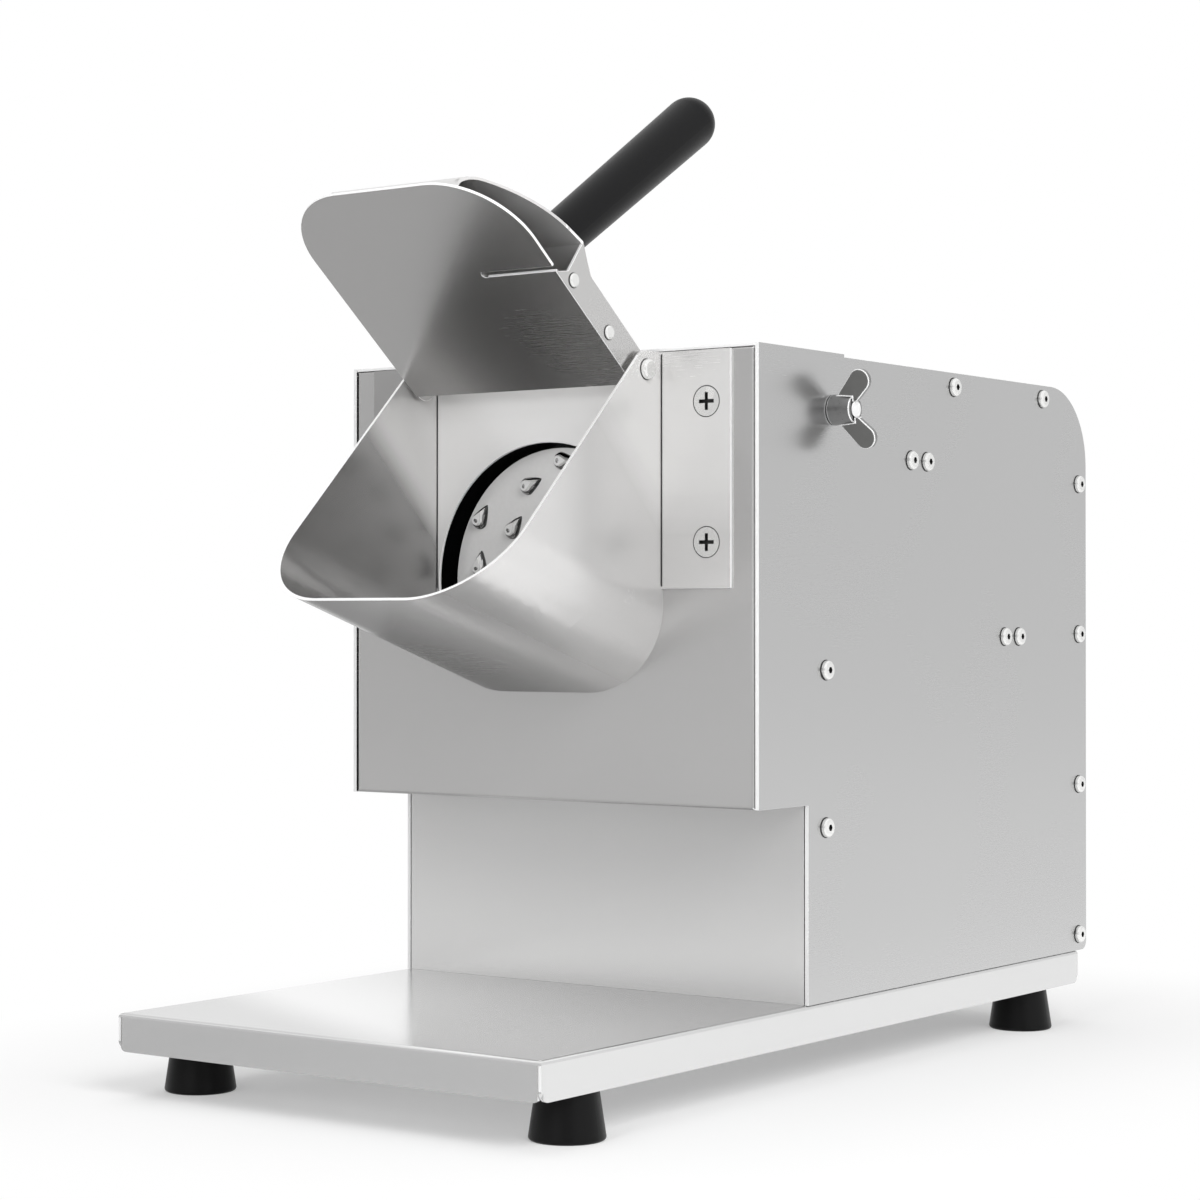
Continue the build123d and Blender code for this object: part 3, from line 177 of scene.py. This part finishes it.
def relief(tree_nodes, links, field, shader, strength, distance):
    """A fine bump from a field."""
    bump = tree_nodes.new("ShaderNodeBump")
    bump.inputs["Strength"].default_value = strength
    bump.inputs["Distance"].default_value = distance
    links.new(field, bump.inputs["Height"])
    links.new(bump.outputs["Normal"], shader.inputs["Normal"])


def brushed_steel(name, level, roughness, along, warmth=0.0, metallic=1.0):
    """Brushed stainless sheet whose grain runs along one axis."""
    finish, tree_nodes, links, shader = new_finish(name)
    stretch = {"x": (0.02, 1, 1), "y": (1, 0.02, 1)}[along]
    fine = grain_field(tree_nodes, links, 2600, 2, stretch)
    broad = grain_field(tree_nodes, links, 9, 1, (1, 1, 1))
    light = [level * (1 + warmth), level, level * (1 - warmth)]
    dark = [c * 0.99 for c in light]
    links.new(tint(tree_nodes, links, fine, dark, light), shader.inputs["Base Color"])
    brushed = spread(tree_nodes, links, fine, roughness - 0.006, roughness + 0.006)
    handled = spread(tree_nodes, links, broad, -0.015, 0.015)
    links.new(sum_of(tree_nodes, links, "ADD", brushed, handled), shader.inputs["Roughness"])
    shader.inputs["Metallic"].default_value = metallic
    relief(tree_nodes, links, fine, shader, 0.003, 0.00001)
    return finish


def bare_metal(name, level, roughness, metallic=1.0, scale=900, bump=0.05, stretch=(1, 1, 1), mottle=0.12):
    """Machined, drawn or cast metal with a fine even texture."""
    finish, tree_nodes, links, shader = new_finish(name)
    field = grain_field(tree_nodes, links, scale, 3, stretch)
    dark = [c * (1 - mottle) for c in level]
    uneven = roughness * 2 * mottle
    links.new(tint(tree_nodes, links, field, dark, level), shader.inputs["Base Color"])
    links.new(spread(tree_nodes, links, field, roughness - uneven, roughness + uneven), shader.inputs["Roughness"])
    shader.inputs["Metallic"].default_value = metallic
    relief(tree_nodes, links, field, shader, bump, 0.0001)
    return finish


def moulded(name, colour, roughness, scale=1400, bump=0.15, specular=0.5):
    """Moulded plastic or rubber with a fine grain."""
    finish, tree_nodes, links, shader = new_finish(name)
    field = grain_field(tree_nodes, links, scale, 2, (1, 1, 1))
    links.new(tint(tree_nodes, links, field, [c * 0.8 for c in colour], colour), shader.inputs["Base Color"])
    links.new(spread(tree_nodes, links, field, roughness - 0.06, roughness + 0.06), shader.inputs["Roughness"])
    shader.inputs["Specular IOR Level"].default_value = specular
    relief(tree_nodes, links, field, shader, bump, 0.0002)
    return finish


# Sheet steel

steel_x = brushed_steel("brushed_steel_across", 0.60, 0.25, "x", 0.006, metallic=0.9)
steel_y = brushed_steel("brushed_steel_along", 0.57, 0.27, "y")
front_steel = brushed_steel("front_steel", 0.56, 0.25, "x", 0.006, metallic=0.82)
tray_steel = brushed_steel("tray_steel", 0.70, 0.20, "y", metallic=0.78)
recess_steel = brushed_steel("recess_steel", 0.70, 0.22, "x", 0.004, metallic=0.8)
chute_steel = brushed_steel("chute_steel", 0.71, 0.26, "x", 0.008, metallic=0.7)
back_steel = brushed_steel("back_steel", 0.70, 0.3, "x", 0.008, metallic=0.65)
pusher_steel = brushed_steel("pusher_steel", 0.64, 0.26, "x", 0.008, metallic=0.97)


def polish_and_shade_chute():
    """The chute is more metallic on its left, satin on its right and high up at the back; painted shade darkens
    its left half, except high up at the back.
    """
    tree_nodes, links, shader = tree_of(chute_steel)
    place = object_place(tree_nodes)
    across = sides_of(tree_nodes, links, place)["X"]
    up_back = along_line(tree_nodes, links, place, (0, 1, 1))
    polish = carried(tree_nodes, links, across, -0.03, 0.06, 1.0, 0.7)
    satin_top = carried(tree_nodes, links, up_back, 0.125, 0.2, 1.0, 0.5)
    links.new(sum_of(tree_nodes, links, "MINIMUM", polish, satin_top), shader.inputs["Metallic"])
    # Painted shade: the colour darkens towards the chute's left, and is lifted back to full high up at the back
    left_painted_shade = carried(tree_nodes, links, across, -0.03, 0.06, 0.52, 1.0)
    top_kept_unshaded = carried(tree_nodes, links, up_back, 0.14, 0.19, 0.0, 1.02)
    off_flange = sum_of(tree_nodes, links, "GREATER_THAN", across, -0.0712)
    top_kept_unshaded = sum_of(tree_nodes, links, "MULTIPLY", top_kept_unshaded, off_flange)
    shaded_by(tree_nodes, links, shader, sum_of(tree_nodes, links, "MAXIMUM", left_painted_shade, top_kept_unshaded))


def satin_front_with_painted_light():
    """Between the chute's walls the head's front panel is satin, with painted light that makes it paler."""
    tree_nodes, links, shader = tree_of(front_steel)
    sides = sides_of(tree_nodes, links, object_place(tree_nodes))
    off_centre = sum_of(tree_nodes, links, "ABSOLUTE", sides["X"])
    between_walls = sum_of(tree_nodes, links, "LESS_THAN", off_centre, chute_wall_x)
    upper = carried(tree_nodes, links, sides["Z"], 0.225, 0.26, 0.0, 1.0)
    inside = sum_of(tree_nodes, links, "MULTIPLY", between_walls, upper)
    less_metal = sum_of(tree_nodes, links, "MULTIPLY", inside, -0.47)
    links.new(sum_of(tree_nodes, links, "ADD", less_metal, 0.82), shader.inputs["Metallic"])
    # Painted light on the panel between the chute's walls
    paler = sum_of(tree_nodes, links, "MULTIPLY", inside, 0.5875)
    shaded_by(tree_nodes, links, shader, sum_of(tree_nodes, links, "ADD", paler, 1.0))


def paint_tray_light_and_shade():
    """Painted light and shade on the tray's top: brightest a little way back from its front-left edge, darker
    towards the recess.
    """
    tree_nodes, links, shader = tree_of(tray_steel)
    place = object_place(tree_nodes)
    towards_back = along_line(tree_nodes, links, place, (0.5, 1, 0))
    # Painted light and shade, by how far back across the tray's top a point lies
    pale = carried(tree_nodes, links, towards_back, -0.215, -0.02, 1.3, 0.62)
    calm = carried(tree_nodes, links, towards_back, -0.27, -0.215, 0.66, 1.0)
    tray_light_and_shade = sum_of(tree_nodes, links, "MULTIPLY", pale, calm)
    height = sides_of(tree_nodes, links, place)["Z"]
    on_top = sum_of(tree_nodes, links, "GREATER_THAN", height, tray_top_z - 0.0006)
    change = sum_of(tree_nodes, links, "SUBTRACT", tray_light_and_shade, 1.0)
    change = sum_of(tree_nodes, links, "MULTIPLY", change, on_top)
    shaded_by(tree_nodes, links, shader, sum_of(tree_nodes, links, "ADD", change, 1.0))


def paint_recess_light_and_shade():
    """Painted light on the recess panel near the tray, and painted shade towards its top under the head."""
    tree_nodes, links, shader = tree_of(recess_steel)
    height = sides_of(tree_nodes, links, object_place(tree_nodes))["Z"]
    # Painted light low on the recess panel, painted shade high up
    shaded_by(tree_nodes, links, shader, carried(tree_nodes, links, height, 0.05, 0.13, 1.38, 0.92))


polish_and_shade_chute()
satin_front_with_painted_light()
paint_tray_light_and_shade()
paint_recess_light_and_shade()


# Other metals, rubber and plastics

room_steel = bare_metal("room_steel", (0.03, 0.03, 0.032), 0.6)
disc_steel = bare_metal("disc_steel", (0.95, 0.945, 0.94), 0.24, metallic=0.3, scale=600, bump=0.02, mottle=0.03)
screw_steel = bare_metal("screw_steel", (0.86, 0.86, 0.85), 0.16, metallic=0.8, scale=1200, bump=0.02, mottle=0.05)
turned_steel = bare_metal("turned_steel", (0.6, 0.6, 0.6), 0.22, scale=500)
cast_metal = bare_metal("cast_metal", (0.55, 0.56, 0.57), 0.5, metallic=0.9, scale=260, bump=0.3)
laminations = bare_metal("laminations", (0.22, 0.22, 0.23), 0.45, stretch=(0.05, 1, 0.05))
copper_wire = bare_metal("copper_wire", (0.6, 0.28, 0.12), 0.3, scale=700, bump=0.4, stretch=(1, 0.1, 1))
# Pale finish for the sheets' cut and rounded edges: a painted highlight
edge_steel = bare_metal("edge_steel", (0.92, 0.92, 0.92), 0.3, metallic=0.35, scale=90, bump=0.01, mottle=0.02)
# Near-black finish for drive recesses, the rings round screw heads and the chute's lines: painted shade
recess_dark = bare_metal("recess_dark", (0.035, 0.035, 0.035), 0.5, metallic=0.6)
nut_metal = bare_metal("nut_metal", (0.3, 0.3, 0.3), 0.34, scale=420, bump=0.08)
wing_face = bare_metal("wing_face", (0.27, 0.27, 0.265), 0.4, scale=420, bump=0.04, mottle=0.06)
nut_rim = bare_metal("nut_rim", (0.9, 0.9, 0.9), 0.25, metallic=0.5, scale=200, bump=0.01, mottle=0.02)
# Near-black finish for the teeth's mouths and low flanks: painted shade
tooth_flank = bare_metal("tooth_flank", (0.1, 0.1, 0.1), 0.2, bump=0.01)
tooth_steel = bare_metal("tooth_steel", (0.52, 0.52, 0.52), 0.12, scale=500, bump=0.004, mottle=0.03)

cover_paint = moulded("cover_paint", (0.12, 0.13, 0.14), 0.45)
black_rubber = moulded("black_rubber", (0.004, 0.004, 0.0042), 0.36, specular=0.16)
grip_plastic = moulded("grip_plastic", (0.005, 0.005, 0.0055), 0.36, scale=1600, bump=0.1, specular=0.14)
black_plastic = moulded("black_plastic", (0.02, 0.02, 0.022), 0.5)
white_plastic = moulded("white_plastic", (0.75, 0.75, 0.72), 0.35)
green_plastic = moulded("green_plastic", (0.02, 0.3, 0.08), 0.25, bump=0.05)
red_plastic = moulded("red_plastic", (0.5, 0.02, 0.02), 0.25, bump=0.05)


def threaded(name):
    """Bright metal with a thread's ridges along X."""
    finish, tree_nodes, links, shader = new_finish(name)
    shader.inputs["Base Color"].default_value = (0.9, 0.9, 0.9, 1)
    shader.inputs["Metallic"].default_value = 0.5
    shader.inputs["Roughness"].default_value = 0.25
    ridges = tree_nodes.new("ShaderNodeTexWave")
    ridges.wave_profile = "SIN"
    ridges.inputs["Scale"].default_value = 250
    links.new(object_place(tree_nodes), ridges.inputs["Vector"])
    relief(tree_nodes, links, ridges.outputs["Fac"], shader, 0.8, 0.0005)
    return finish


# Which finish each node of the model has; screws, bolts and nuts are not listed

finish_nodes = (
    (tray_steel, "base_tray"),
    (steel_y, "side_panel_left side_panel_right"),
    (steel_x, "rear_cover head_top_cover upper_brace motor_cradle capacitor_clip"),
    (front_steel, "head_front_panel"),
    (recess_steel, "recess_panel"),
    (room_steel, "chamber_shroud"),
    (chute_steel, "feed_chute"),
    (pusher_steel, "pusher_plate"),
    (back_steel, "pusher_back"),
    (disc_steel, "grating_disc"),
    (nut_metal, "wing_nut_left wing_nut_right"),
    (threaded("threaded_steel"), "wing_studs"),
    (grip_plastic, "handle_grip"),
    (turned_steel, "handle_stem motor_shaft disc_hub bearing_front bearing_rear"),
    (laminations, "rotor_core stator_core"),
    (copper_wire, "stator_windings"),
    (cast_metal, "motor_frame motor_front_shield motor_rear_shield"),
    (cover_paint, "fan_cover"),
    (black_plastic, "cooling_fan terminal_box switch_body cable_gland gland_nut"),
    (black_rubber, "shaft_seal foot_front_left foot_front_right foot_rear_left foot_rear_right"),
    (white_plastic, "capacitor"),
    (green_plastic, "start_button"),
    (red_plastic, "stop_button"),
)
finish_of = {name: screw_steel for name in nodes}
for finish, names in finish_nodes:
    finish_of.update((name, finish) for name in names.split())
for name, node in nodes.items():
    node.data.materials.clear()
    node.data.materials.append(finish_of[name])


# Sheet pieces get the small rounding that a deburred edge has, and a painted highlight along their edges

# Points this near are one point, and faces this near to flat are one face
weld_gap, flat_turn = 0.000002, radians(0.6)
# A flat face narrower than this between two sharp edges is the cut edge of a sheet
widest_cut_edge, sharp_turn = 0.0022, radians(50)
# A wing's face is larger than this, in square metres, and stands along the stud
smallest_wing_face, wing_lean = 0.00005, 0.05


def pick(piece):
    """Select a piece and make it the active one."""
    piece.select_set(True)
    bpy.context.view_layer.objects.active = piece


def merged_copy(name, prefix, *finishes):
    """A copy of a node with its loose triangles merged into faces, in the node's place."""
    source = nodes[name]
    piece = bpy.data.objects.new(prefix + name, source.data.copy())
    bpy.context.scene.collection.objects.link(piece)
    work = bmesh.new()
    work.from_mesh(piece.data)
    bmesh.ops.remove_doubles(work, verts=work.verts, dist=weld_gap)
    bmesh.ops.dissolve_limit(work, angle_limit=flat_turn, verts=work.verts, edges=work.edges)
    work.to_mesh(piece.data)
    work.free()
    piece.data.materials.clear()
    for finish in finishes:
        piece.data.materials.append(finish)
    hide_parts(name)
    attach(piece, source["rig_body"])
    return piece


def rounding_on(piece, width, segments=2):
    """A rounding of a piece's edges, still to be applied."""
    rounding = piece.modifiers.new("rounding", "BEVEL")
    rounding.width = width
    rounding.segments = segments
    return rounding


def finish_edges(piece, width, segments=2, clamped=True):
    """Round the sharp edges in the second finish, and keep the flats flat to the eye."""
    pick(piece)
    rounding = rounding_on(piece, width, segments)
    rounding.limit_method = "ANGLE"
    rounding.angle_limit = radians(40)
    rounding.use_clamp_overlap = clamped
    rounding.material = 1
    bpy.ops.object.modifier_apply(modifier="rounding")
    bpy.ops.object.shade_smooth_by_angle(angle=radians(38))
    piece.modifiers.new("flats", "WEIGHTED_NORMAL").keep_sharp = True
    bpy.ops.object.modifier_apply(modifier="flats")
    piece.select_set(False)


def highlight_cut_edges(piece):
    """Give the second finish, a painted highlight, to the narrow faces that run round a sheet."""
    work = bmesh.new()
    work.from_mesh(piece.data)
    for face in work.faces:
        wide = 2 * face.calc_area() / max(face.calc_perimeter(), 1e-9)
        long_edges = sorted(face.edges, key=lambda e: -e.calc_length())[:2]
        sharp = all(e.is_manifold and e.calc_face_angle(0) > sharp_turn for e in long_edges)
        if wide < widest_cut_edge and sharp:
            face.material_index = 1
    work.to_mesh(piece.data)
    work.free()


def eased_sheet(name):
    """A sheet piece with deburred edges that carry a painted highlight."""
    piece = merged_copy(name, "eased_", finish_of[name], edge_steel)
    highlight_cut_edges(piece)
    finish_edges(piece, 0.0003)


def eased_nut(name):
    """A wing nut with dull wing faces and bright rounded rims."""
    piece = merged_copy(name, "eased_", finish_of[name], nut_rim, wing_face)
    for face in piece.data.polygons:
        if abs(face.normal.x) < wing_lean and face.area > smallest_wing_face:
            face.material_index = 2
    finish_edges(piece, 0.00045, clamped=False)


for sheet_name in ("base_tray", "side_panel_left", "side_panel_right", "head_top_cover", "head_front_panel",
                   "recess_panel", "feed_chute", "pusher_plate", "pusher_back", "rear_cover"):
    eased_sheet(sheet_name)
finish_edges(merged_copy("grating_disc", "eased_", disc_steel, tooth_steel), 0.00035, 3)
for side in ("left", "right"):
    eased_nut("wing_nut_" + side)


# Screws: painted shade in the drive recesses, and a thin ring of painted shade round each head

shade_line_r = 0.00028
# The rim of a head keeps its own finish down to this depth
rim_depth = 0.00015


def separate_bodies(work):
    """The sets of faces that hang together in a mesh."""
    work.faces.ensure_lookup_table()
    left = set(range(len(work.faces)))
    groups = []
    while left:
        stack = [left.pop()]
        group = set(stack)
        while stack:
            for edge in work.faces[stack.pop()].edges:
                for other in edge.link_faces:
                    if other.index in left:
                        left.discard(other.index)
                        group.add(other.index)
                        stack.append(other.index)
        groups.append(group)
    return groups


def head_of(work, group, way):
    """A screw's middle, its outward direction and how far out its head reaches."""
    points = [v.co for index in group for v in work.faces[index].verts]
    middle = Vector([(min(p[i] for p in points) + max(p[i] for p in points)) / 2 for i in range(3)])
    out = Vector(way(middle))
    return middle, out, max(p.dot(out) for p in points)


def paint_recess_shade(work, group, middle, out, top, recess_r, deepest):
    """Give the second finish, painted shade, to the faces of a head's drive recess."""
    for index in group:
        face = work.faces[index]
        centre = face.calc_center_median()
        aside = centre - middle
        aside -= out * aside.dot(out)
        if rim_depth < top - centre.dot(out) < deepest and aside.length < recess_r:
            face.material_index = 1


def shade_ring(spot, out, shade_ring_r):
    """A thin ring of painted shade round a screw head, flat to its sheet."""
    bpy.ops.mesh.primitive_torus_add(
        location=spot, rotation=out.to_track_quat("Z", "Y").to_euler(),
        major_radius=shade_ring_r, minor_radius=shade_line_r, major_segments=40, minor_segments=6,
    )
    ring = bpy.context.object
    bpy.ops.object.transform_apply(location=True, rotation=True, scale=True)
    ring.select_set(False)
    return ring


def joined(pieces, name):
    """Join pieces into one smooth piece."""
    for piece in pieces:
        piece.select_set(True)
    bpy.context.view_layer.objects.active = pieces[0]
    bpy.ops.object.join()
    whole = bpy.context.object
    whole.name = name
    bpy.ops.object.shade_smooth()
    whole.select_set(False)
    return whole


def recessed_screws(name, way, shade_ring_r, shade_ring_depth, recess_r=0.0, deepest=0.0):
    """Screws with painted shade in the drive recess and a thin ring of painted shade where the head meets the
    sheet.
    """
    piece = merged_copy(name, "detailed_", finish_of[name], recess_dark)
    work = bmesh.new()
    work.from_mesh(piece.data)
    rings = []
    for group in separate_bodies(work):
        middle, out, top = head_of(work, group, way)
        # Painted shade in the drive recess, and a dark ring round the head
        paint_recess_shade(work, group, middle, out, top, recess_r, deepest)
        rings.append(shade_ring(middle + out * (top - shade_ring_depth - middle.dot(out)), out, shade_ring_r))
    work.to_mesh(piece.data)
    work.free()
    pick(piece)
    bpy.ops.object.shade_smooth_by_angle(angle=radians(30))
    piece.select_set(False)
    shade_rings = joined(rings, name + "_seats")
    shade_rings.data.materials.append(recess_dark)
    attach(shade_rings, nodes[name]["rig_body"])


def sideways(middle):
    """Out through the nearer side of the machine."""
    return (1 if middle.x > 0 else -1, 0, 0)


def forwards(middle):
    """Out through the machine's front."""
    return (0, -1, 0)


recessed_screws("chute_screws", forwards, 0.0074, 0.0001, recess_r=0.00427, deepest=0.0026)
for name in ("cover_screws", "recess_screws", "brace_screws"):
    recessed_screws(name, sideways, 0.0048, 0.0026, recess_r=0.0018, deepest=0.0019)
recessed_screws("hinge_pins", sideways, 0.0049, 0.0029)
recessed_screws("pusher_rivets", sideways, 0.0034, 0.0012)


# Grating teeth: drawn teardrop hoods, each with painted shade on the mouth at its round end and along its low
# flanks

disc_y, disc_z, disc_r = -0.0842, 0.245, 0.0655
# Each ring's gap from the disc's rim in millimetres, and the angle of its first tooth
tooth_rings = ((44.5, 100.0), (26.5, 140.0), (14.5, 113.0), (6.5, 149.0))
teeth_a_ring = 6
tooth_half_w, tooth_point, tooth_high, tooth_sunk = 0.0045, 0.0092, 0.0042, 0.0002
# Where the painted shade on each tooth's mouth and low flanks ends
mouth_from, mouth_high, flank_high = -0.0026, 0.0026, 0.0019


def tooth_master():
    """One hood on its own: a half ball whose front half is drawn out to a point."""
    bpy.ops.mesh.primitive_uv_sphere_add(segments=28, ring_count=16, radius=1, location=(0, 0, 0))
    tooth = bpy.context.object
    bpy.ops.object.mode_set(mode="EDIT")
    bpy.ops.mesh.select_all(action="SELECT")
    bpy.ops.mesh.bisect(plane_co=(0, 0, 0), plane_no=(0, 0, 1), clear_inner=True)
    bpy.ops.object.mode_set(mode="OBJECT")
    for vert in tooth.data.vertices:
        x, y, z = vert.co
        narrow = ((1 - min(y, 0.999)) / (1 + y)) ** 0.3 if y > 0 else 1
        reach = tooth_point if y > 0 else tooth_half_w
        vert.co = (x * tooth_half_w * narrow, y * reach, z * tooth_high * narrow)
    tooth.data.materials.append(tooth_steel)
    tooth.data.materials.append(tooth_flank)
    # Painted shade on the mouth and the low flanks
    for face in tooth.data.polygons:
        in_shaded_mouth = face.center.y < mouth_from and face.center.z < mouth_high
        if in_shaded_mouth or face.center.z < flank_high:
            face.material_index = 1
    tooth.select_set(False)
    return tooth


facing_front = Matrix(((1, 0, 0), (0, 0, -1), (0, 1, 0))).to_4x4()
master = tooth_master()
teeth = []
for rim_gap, first in tooth_rings:
    ring_r = disc_r - rim_gap / 1000
    for step in range(teeth_a_ring):
        turn = radians(first + 360 / teeth_a_ring * step)
        copy = bpy.data.objects.new("tooth_copy", master.data.copy())
        bpy.context.scene.collection.objects.link(copy)
        spot = (ring_r * cos(turn), disc_y + tooth_sunk, disc_z + ring_r * sin(turn))
        copy.data.transform(Matrix.Translation(spot) @ facing_front @ Matrix.Rotation(turn - pi, 4, "Z"))
        teeth.append(copy)
bpy.data.objects.remove(master)
hoods = joined(teeth, "grating_teeth")
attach(hoods, "rotor")


# Thin lines of painted shade at the chute

line_deep, line_round, line_short_of = 0.0004, 0.00012, 0.002


def upright_line(name, x, y, width):
    """A thin dark bar of painted shade that stands for the shadow of a fold or a joint in the sheet."""
    bpy.ops.mesh.primitive_cube_add(size=1, location=(x, y, (crease_top + crease_foot) / 2))
    bar = bpy.context.object
    bar.name = name
    bar.scale = (width, line_deep, crease_top - crease_foot - line_short_of)
    bpy.ops.object.transform_apply(location=True, rotation=True, scale=True)
    rounding_on(bar, line_round)
    bpy.ops.object.modifier_apply(modifier="rounding")
    bar.data.materials.append(recess_dark)
    bar.select_set(False)
    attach(bar, "machine")


# Painted shade in the creases, where the chute's flanges are folded out from its walls
for side, way in (("left", -1), ("right", 1)):
    upright_line("chute_crease_" + side, way * crease_x, crease_y, 0.0006)
# Painted shade in the joints, where the walls meet the head's front panel
for side, way in (("left", -1), ("right", 1)):
    upright_line("chute_joint_" + side, way * joint_x, panel_face_y - line_deep / 2, 0.0005)


# Floor, reflection cards and room

# The shadow keeps to this half size round the machine and fades to white beyond it
shadow_area, shadow_fade, shadow_white = (0.115, 0.235, 0), 0.26, 0.3


def seen_directly(tree_nodes, links):
    """1 for what the camera sees, straight, mirrored or through something; else 0."""
    rays = tree_nodes.new("ShaderNodeLightPath").outputs
    seen = sum_of(tree_nodes, links, "ADD", rays["Is Camera Ray"], rays["Is Glossy Ray"], clamp=True)
    return sum_of(tree_nodes, links, "ADD", seen, rays["Is Transmission Ray"], clamp=True)


def vector_sum(tree_nodes, links, operation, value, other=None):
    """One sum on a vector, and on a fixed one."""
    node = tree_nodes.new("ShaderNodeVectorMath")
    node.operation = operation
    links.new(value, node.inputs[0])
    if other:
        node.inputs[1].default_value = other
    return node.outputs["Value" if operation == "LENGTH" else "Vector"]


def studio_floor():
    """A pale floor that holds the shadow near the machine and fades to white."""
    finish, tree_nodes, links, shader = new_finish("studio_floor")
    shader.inputs["Base Color"].default_value = (0.93, 0.93, 0.93, 1)
    shader.inputs["Roughness"].default_value = 0.9
    shader.inputs["Specular IOR Level"].default_value = 0.0
    offset = vector_sum(tree_nodes, links, "ABSOLUTE", object_place(tree_nodes))
    beside = vector_sum(tree_nodes, links, "SUBTRACT", offset, shadow_area)
    outside = vector_sum(tree_nodes, links, "MAXIMUM", beside)
    away = vector_sum(tree_nodes, links, "LENGTH", outside)
    fade = carried(tree_nodes, links, away, 0.0, shadow_fade, shadow_white, 1.0)
    white = tree_nodes.new("ShaderNodeEmission")
    white.inputs["Color"].default_value = (1, 1, 1, 1)
    blend = tree_nodes.new("ShaderNodeMixShader")
    share = sum_of(tree_nodes, links, "MULTIPLY", fade, seen_directly(tree_nodes, links))
    links.new(share, blend.inputs["Fac"])
    links.new(shader.outputs["BSDF"], blend.inputs[1])
    links.new(white.outputs["Emission"], blend.inputs[2])
    links.new(blend.outputs["Shader"], tree_nodes["Material Output"].inputs["Surface"])
    bpy.ops.mesh.primitive_plane_add(size=12, location=(0, 0, 0))
    floor = bpy.context.object
    floor.name = "studio_floor"
    floor.data.materials.append(finish)
    floor.select_set(False)


def card(name, location, facing, width, height, level):
    """A grey card that only reflections see."""
    bpy.ops.mesh.primitive_plane_add(size=1, location=location)
    board = bpy.context.object
    board.name = name
    board.scale = (width, height, 1)
    board.rotation_euler = Vector(facing).to_track_quat("Z", "Y").to_euler()
    tone, tone_nodes, links, shader = new_finish(name + "_tone")
    tone_nodes.remove(shader)
    glow = tone_nodes.new("ShaderNodeEmission")
    glow.inputs["Color"].default_value = (level, level, level, 1)
    links.new(glow.outputs["Emission"], tone_nodes["Material Output"].inputs["Surface"])
    board.data.materials.append(tone)
    board.visible_camera = False
    board.visible_diffuse = False
    board.visible_shadow = False
    board.select_set(False)


def softbox(name, location, target, size, power):
    """A square area lamp aimed at a point, unseen in reflections."""
    bpy.ops.object.light_add(type="AREA", location=location)
    lamp = bpy.context.object
    lamp.name = name
    lamp.data.size = size
    lamp.data.energy = power
    lamp.rotation_euler = (Vector(target) - Vector(location)).to_track_quat("-Z", "Y").to_euler()
    lamp.visible_glossy = False
    lamp.select_set(False)


def studio_room():
    """A room that is white to look at and softer as a light."""
    world = bpy.data.worlds.new("studio")
    bpy.context.scene.world = world
    world.use_nodes = True
    tree_nodes, links = world.node_tree.nodes, world.node_tree.links
    soft = tree_nodes["Background"]
    clear = tree_nodes.new("ShaderNodeBackground")
    for background, strength in ((soft, 0.45), (clear, 1.0)):
        background.inputs["Color"].default_value = (1, 1, 1, 1)
        background.inputs["Strength"].default_value = strength
    choose = tree_nodes.new("ShaderNodeMixShader")
    links.new(seen_directly(tree_nodes, links), choose.inputs["Fac"])
    links.new(soft.outputs["Background"], choose.inputs[1])
    links.new(clear.outputs["Background"], choose.inputs[2])
    links.new(choose.outputs["Shader"], tree_nodes["World Output"].inputs["Surface"])


studio_floor()
card("front_left_card", (-1.6, -2.0, 0.6), (1.5, 1.9, -0.2), 3.0, 2.4, 0.60)
card("back_right_card", (1.9, 2.2, 0.9), (-1.8, -2.1, -0.4), 3.4, 2.0, 0.86)
card("front_floor_card", (-0.35, -0.75, 0.001), (0, 0, 1), 1.1, 0.86, 0.52)
card("front_right_card", (1.5, -2.1, 0.5), (-1.4, 2.0, -0.3), 1.5, 1.3, 0.4)
card("left_floor_card", (-0.5, -0.1, 0.0012), (0, 0, 1), 0.72, 0.8, 0.5)
card("right_floor_card", (0.25, 0.2, 0.001), (0, 0, 1), 0.2, 1.2, 1.1)
studio_room()
softbox("key_light", (1.7, -1.0, 1.3), (0, 0, 0.2), size=1.1, power=36)
softbox("mouth_light", (0.3, -1.9, 0.62), (0, -0.1, 0.27), size=0.5, power=8)
softbox("top_light", (-0.5, 0.3, 2.3), (0, 0, 0.1), size=1.8, power=11)

# Camera at the photograph's viewpoint
film_width, focal_px, frame_px = 36, 2846.54, 1200
bpy.ops.object.camera_add(
    location=(0.8484, -1.2147, 0.2254),
    rotation=(radians(90 + 0.384), 0, radians(36.086)),
)
camera = bpy.context.object
camera.data.sensor_width = film_width
camera.data.lens = film_width * focal_px / frame_px
camera.data.clip_start = 0.01
camera.select_set(False)
bpy.context.scene.camera = camera
bpy.context.scene.view_settings.view_transform = "Standard"
